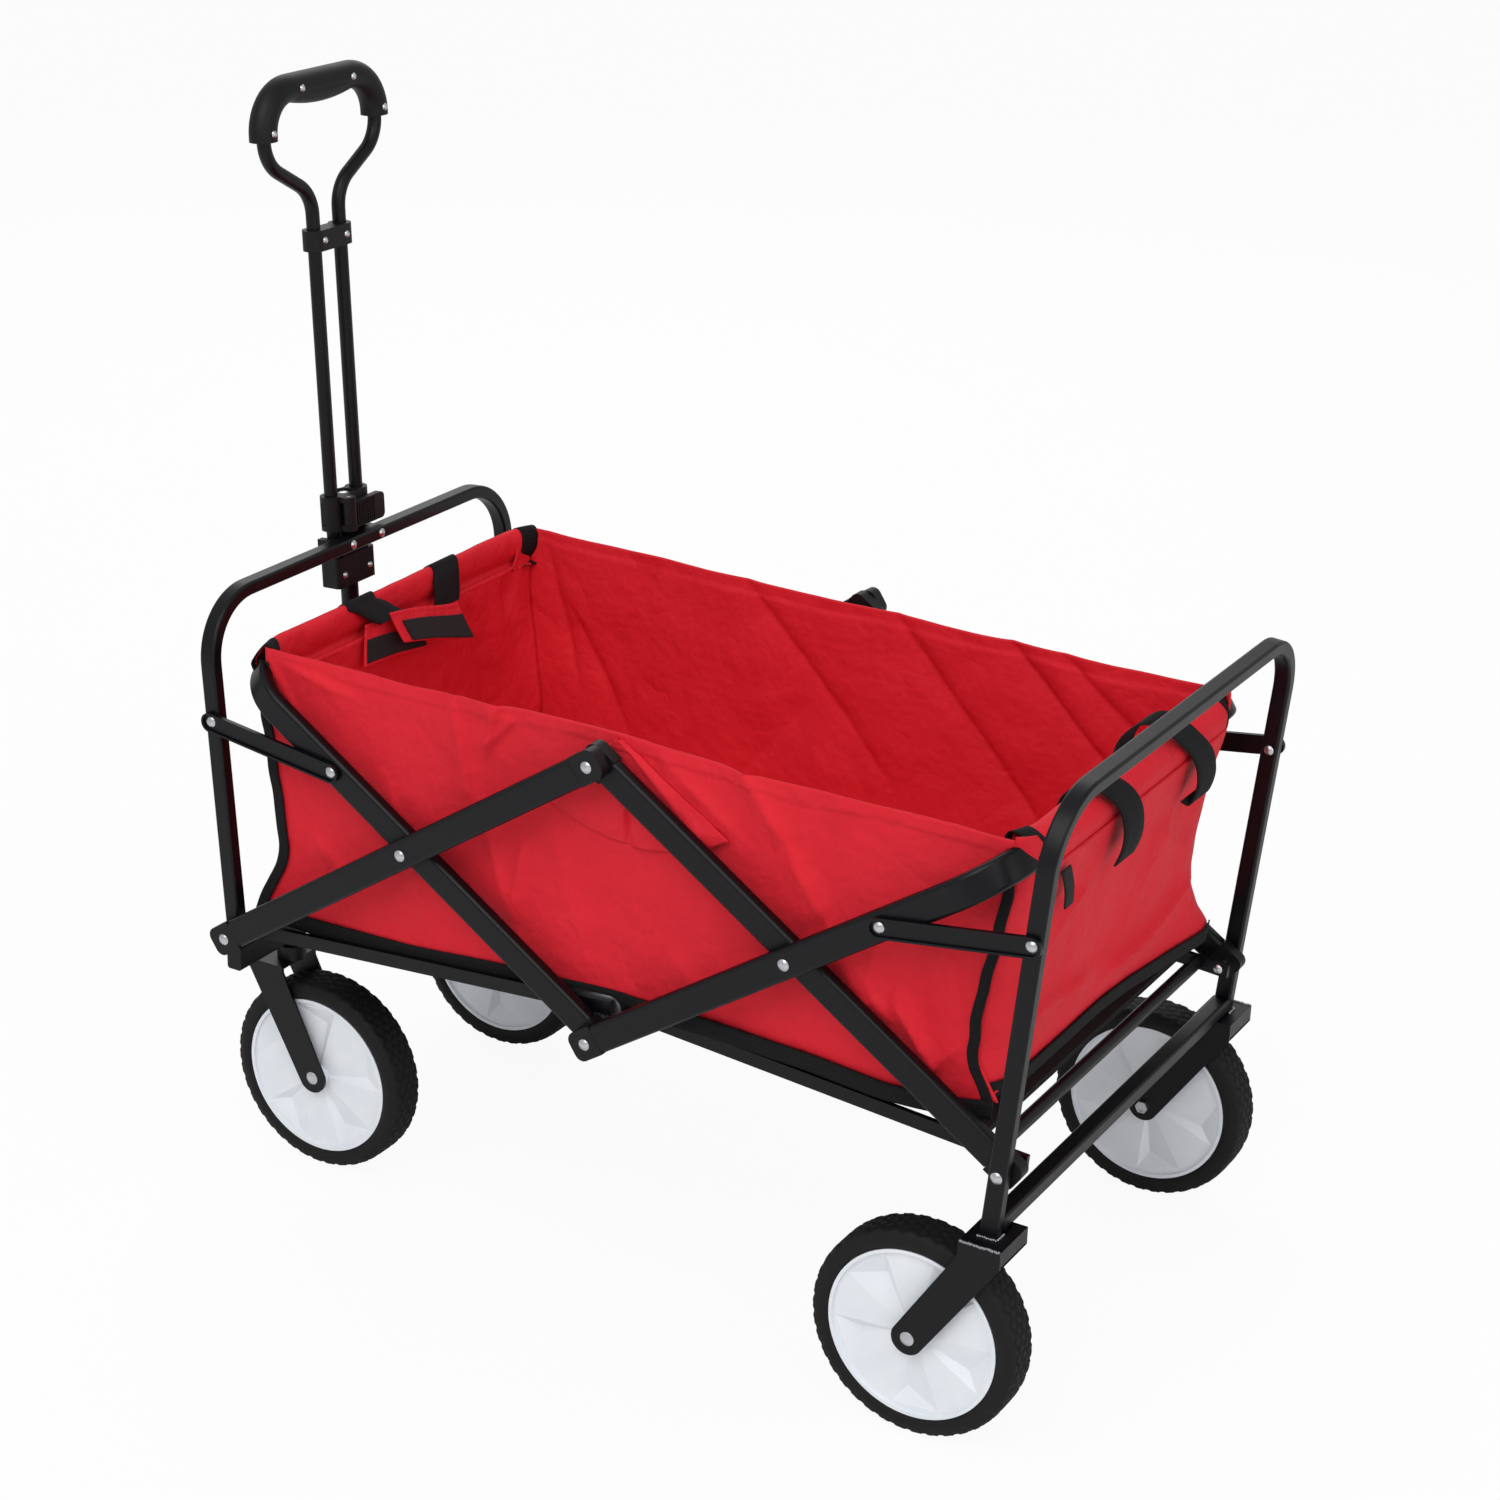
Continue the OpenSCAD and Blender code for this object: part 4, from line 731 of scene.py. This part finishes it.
tail = {"line": [(374.5, -149, 470), (375, -142, 452), (371, -132, 432)], "width": 0.013,
        "turn": (0.05, 1, 0.12)}
binding("rearTail", tail["line"], tail["width"], across(*tail["turn"]), strapThick, None, "hooks", "hung")

# red wraps with hook tape at the handle end: corner points go top left, top right, bottom right, bottom left

wraps = {
    "openWrap": {"corners": [(-331, -43, 496), (-325, 50, 481.5), (-316, 58, 447), (-323, -37, 469)],
                 "curl": 3.5, "tape": (0.10, 0.98, 0.30, 0.94)},
    "backWrap": {"corners": [(-341, -64, 489), (-338, 6, 481), (-334, 14, 448), (-338, -74, 453)],
                 "curl": 2.0, "tape": (0.03, 0.97, 0.36, 0.90)},
}
wrapForm = {"belly": 0.6, "flutter": (1.2, 7), "rise": (0.0015, 5), "tapeOff": 0.0018, "tapeThick": 0.0015,
            "tapeLong": 0.9, "weaveHigh": 0.6}
for name, wrap in wraps.items():
    a, b, c, d = [spot(*corner) for corner in wrap["corners"]]

    def wrapPlace(u, v, lift=0.0, area=(0, 1, 0, 1)):
        s, t = area[0] + (area[1] - area[0]) * u, area[2] + (area[3] - area[2]) * (1 - v)
        point = (a + (b - a) * s) * (1 - t) + (d + (c - d) * s) * t
        swell = (wrap["curl"] * math.sin(math.pi * s) * wrapForm["belly"] + wrap["curl"] * t * t
                 + wrapForm["flutter"][0] * math.sin(s * wrapForm["flutter"][1]) * t)
        rise = wrapForm["rise"][0] * math.sin(s * wrapForm["rise"][1])
        return point + Vector((swell / 1000 + lift, 0, rise))

    size = ((b - a).length, (d - a).length)
    addPanel(name, clothGrid(40, 20, wrapPlace, size), cloth["patch"], size, "hung", ["front_rim_tube"])
    tapeLong, tapeHigh = size[0] * wrapForm["tapeLong"], size[1] * (wrap["tape"][3] - wrap["tape"][2])
    shape = clothGrid(36, 12, lambda u, v: wrapPlace(u, v, wrapForm["tapeOff"], wrap["tape"]),
                      (tapeLong, size[1] * wrapForm["weaveHigh"]))
    addPanel(name + "Tape", shape, cloth["hooks"], (tapeLong, tapeHigh), "laid", [name],
             wrapForm["tapeThick"])

basketLift = {"anchor": spot(-371.7, 0, 0), "keep": 0.2696}
for piece in basketPieces:
    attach(piece, "basket")
    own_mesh(piece)
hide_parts("basket")
print("basket:", len(basketPieces), "pieces of cloth")


# tyres with a diamond tread and stepped side walls

tyre = {
    "around": 580, "ring": 52, "knobs": 38, "groove": 1.3, "flat": (0.565, 0.11), "phaseStep": 0.4,
    # half section from the bead to the middle of the tread: (radius, half width)
    "section": [(73.5, 0.0), (73.5, 14.0), (73.8, 17.2), (75.4, 17.8), (76.8, 18.9), (82.2, 18.9),
                (83.2, 18.1), (84.6, 17.6), (86.6, 17.3), (88.6, 16.0), (89.6, 13.4), (90.0, 10.0),
                (90.0, 0.0)],
    # the tread: where it starts, its grooves' slant, and where grooves and shoulder lugs start and fade
    "treadFrom": 84.5, "slant": 9.0, "grooveEdge": (0.72, 0.12), "flatHalf": 14, "shoulderGroove": 0.2,
    "lugEdge": (0.55, 0.2), "lugFrom": (11, 3), "lugShift": 0.25, "lugDepth": 0.75,
}
sectionLength = [0.0]
for (r0, y0), (r1, y1) in zip(tyre["section"], tyre["section"][1:]):
    sectionLength.append(sectionLength[-1] + math.hypot(r1 - r0, y1 - y0))


def tyreSection(v):
    # v runs once round the section, from the bead's middle over one side wall and the tread to the other
    side = -1 if v < 0.5 else 1
    t = (v if v < 0.5 else 1 - v) * 2 * sectionLength[-1]
    for n in range(len(sectionLength) - 1):
        if t <= sectionLength[n + 1] + 1e-6:
            f = (t - sectionLength[n]) / (sectionLength[n + 1] - sectionLength[n])
            r = tyre["section"][n][0] * (1 - f) + tyre["section"][n + 1][0] * f
            w = tyre["section"][n][1] * (1 - f) + tyre["section"][n + 1][1] * f
            return r, w * side
    return tyre["section"][-1]


def fromMiddle(turn):
    # 0 halfway between two whole turns, 1 at a whole turn
    return abs(turn % 1 - 0.5) * 2


def treadDepth(turn, r, w):
    if r < tyre["treadFrom"]:
        return 0.0
    a, b = turn * tyre["knobs"], w / tyre["slant"]
    grooveFrom, grooveFade = tyre["grooveEdge"]
    lugFrom, lugFade = tyre["lugEdge"]
    shoulder, shoulderFade = tyre["lugFrom"]
    groove = share((max(fromMiddle(a + b), fromMiddle(a - b)) - grooveFrom) / grooveFade)
    lug = (share((fromMiddle(a + tyre["lugShift"]) - lugFrom) / lugFade)
           * share((abs(w) - shoulder) / shoulderFade))
    inner = 1.0 if abs(w) < tyre["flatHalf"] else tyre["shoulderGroove"]
    return tyre["groove"] * max(groove * inner, lug * tyre["lugDepth"])


def treadTyre(name, node, centre, phase):
    def place(u, v):
        r, w = tyreSection(v)
        r -= treadDepth(u, r, w)
        a = 2 * math.pi * u + phase
        return centre + Vector((r * math.cos(a), w, r * math.sin(a))) / 1000

    shape = clothGrid(tyre["around"], tyre["ring"], place, tyre["flat"])
    bmesh.ops.remove_doubles(shape, verts=shape.verts, dist=0.00001)
    bmesh.ops.recalc_face_normals(shape, faces=shape.faces)
    piece = newPiece(name, shape, finish["rubber"])
    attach(piece, node.replace("tyre", "wheel") + "_body")
    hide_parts(node)


for number, (end, side) in enumerate((end, side) for end in ("front", "rear") for side in ("left", "right")):
    centre = Vector(joint[f"{end}_wheel_spin_{side}"]["pos_m"])
    treadTyre(f"{end}Tyre{side.capitalize()}", f"{end}_tyre_{side}", centre, number * tyre["phaseStep"])
print("tyres made")


# weld beads on the rear saddles and at the legs' feet; their bright silver is a painted highlight along the
# frame's edge

welds = {
    "radius": 1.25, "step": 1.7, "spread": 0.25, "wobble": (0, 0.0004, 0.0003),
    "sizeSeed": 700, "placeSeed": 900,
    # first and last point of each bead, on the far side of the wagon
    "beads": {
        "saddleWeld": ((352, 247.2, 191.0), (384.5, 247.2, 191.0)),
        "legWeld": ((360, 233.6, 191.6), (375, 233.6, 191.6)),
        "legWeldEnd": ((376, 222, 191.6), (376, 232, 191.6)),
    },
}


def weldBead(name, body, first, last):
    shape = bmesh.new()
    count = int((last - first).length * 1000 / welds["step"])
    for n in range(count + 1):
        point = first.lerp(last, n / count)
        size = welds["radius"] * (1 + welds["spread"] * noise.noise(point * welds["sizeSeed"])) / 1000
        wobble = Vector(welds["wobble"]) * noise.noise(point * welds["placeSeed"])
        placed = Matrix.Translation(point + wobble)
        bmesh.ops.create_icosphere(shape, subdivisions=2, radius=size, matrix=placed)
    # the beads' bright silver finish is a painted highlight
    bead = newPiece(name, shape, finish["weld"])
    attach(bead, body)


for side, tag in ((-1, "Left"), (1, "Right")):
    for name, line in welds["beads"].items():
        first, last = [spot(x, side * y, z) for x, y, z in line]
        weldBead(name + tag, "rear_frame", first, last)
print("welds made")


# camera, light and floor

camera = {"place": (1.25772, -2.12332, 1.43532), "azimuth": 30.04, "elevation": 22.26, "roll": 1.63,
          "lens": 75.46, "sensor": 36, "sight": 50}
eye = bpy.data.objects.new("camera", bpy.data.cameras.new("camera"))
bpy.context.scene.collection.objects.link(eye)
eye.data.lens = camera["lens"]
eye.data.sensor_width = camera["sensor"]
eye.data.clip_end = camera["sight"]
eye.matrix_world = (Matrix.Translation(camera["place"])
                    @ Matrix.Rotation(math.radians(camera["azimuth"]), 4, "Z")
                    @ Matrix.Rotation(math.radians(90 - camera["elevation"]), 4, "X")
                    @ Matrix.Rotation(math.radians(camera["roll"]), 4, "Z"))
bpy.context.scene.camera = eye

lamps = {
    "key": {"place": (0.3, -2.6, 3.2), "size": 2.6, "power": 62},
    "fill": {"place": (3.4, -1.2, 2.0), "size": 2.4, "power": 26},
    "back": {"place": (-1.8, 2.6, 2.6), "size": 2.4, "power": 30},
}
lampAim = Vector((0, 0, 0.35))
for name, lamp in lamps.items():
    light = bpy.data.objects.new(name, bpy.data.lights.new(name, "AREA"))
    bpy.context.scene.collection.objects.link(light)
    light.data.size = lamp["size"]
    light.data.energy = lamp["power"]
    light.location = lamp["place"]
    light.rotation_euler = (lampAim - light.location).to_track_quat("-Z", "Y").to_euler()

sky = {"light": 0.55, "extraSeen": 0.45}
world = bpy.data.worlds.new("studio")
bpy.context.scene.world = world
world.use_nodes = True
Socket.tree = world.node_tree
rays = Socket.node("ShaderNodeLightPath")
direct, through = (Socket(rays.outputs[f"Is {kind} Ray"]) for kind in ("Camera", "Transmission"))
seen = Socket.math("MAXIMUM", direct, through)
backing = world.node_tree.nodes["Background"]
backing.inputs["Color"].default_value = (1, 1, 1, 1)
world.node_tree.links.new((sky["light"] + seen * sky["extraSeen"]).value, backing.inputs["Strength"])

bpy.context.scene.view_settings.view_transform = "Standard"

ground = {"size": 30, "patches": (6, 3), "tints": (rgb(238, 238, 238), rgb(244, 244, 244)), "rough": 0.8,
          "glowSeen": 0.93}
sheetShape = bmesh.new()
bmesh.ops.create_grid(sheetShape, x_segments=1, y_segments=1, size=ground["size"])
floorMesh = bpy.data.meshes.new("floor")
sheetShape.to_mesh(floorMesh)
sheetShape.free()
floor = bpy.data.objects.new("floor", floorMesh)
bpy.context.scene.collection.objects.link(floor)


def paleFloor():
    return {"Base Color": mixed(cloud(coordinates(), *ground["patches"]), *ground["tints"])}


paleGround = material("pale floor", paleFloor, Roughness=ground["rough"])
Socket.tree = paleGround.node_tree
floorShader = paleGround.node_tree.nodes["Principled BSDF"]
glow = Socket.node("ShaderNodeEmission", Color=(1, 1, 1, 1), Strength=1.0)
rays = Socket.node("ShaderNodeLightPath")
blend = Socket.node("ShaderNodeMixShader", Fac=Socket(rays.outputs["Is Camera Ray"]) * ground["glowSeen"])
paleGround.node_tree.links.new(floorShader.outputs[0], blend.inputs[1])
paleGround.node_tree.links.new(glow.outputs[0], blend.inputs[2])
paleGround.node_tree.links.new(blend.outputs[0], paleGround.node_tree.nodes["Material Output"].inputs[0])
floorMesh.materials.append(paleGround)
print("camera, light and floor set")

bpy.context.view_layer.update()
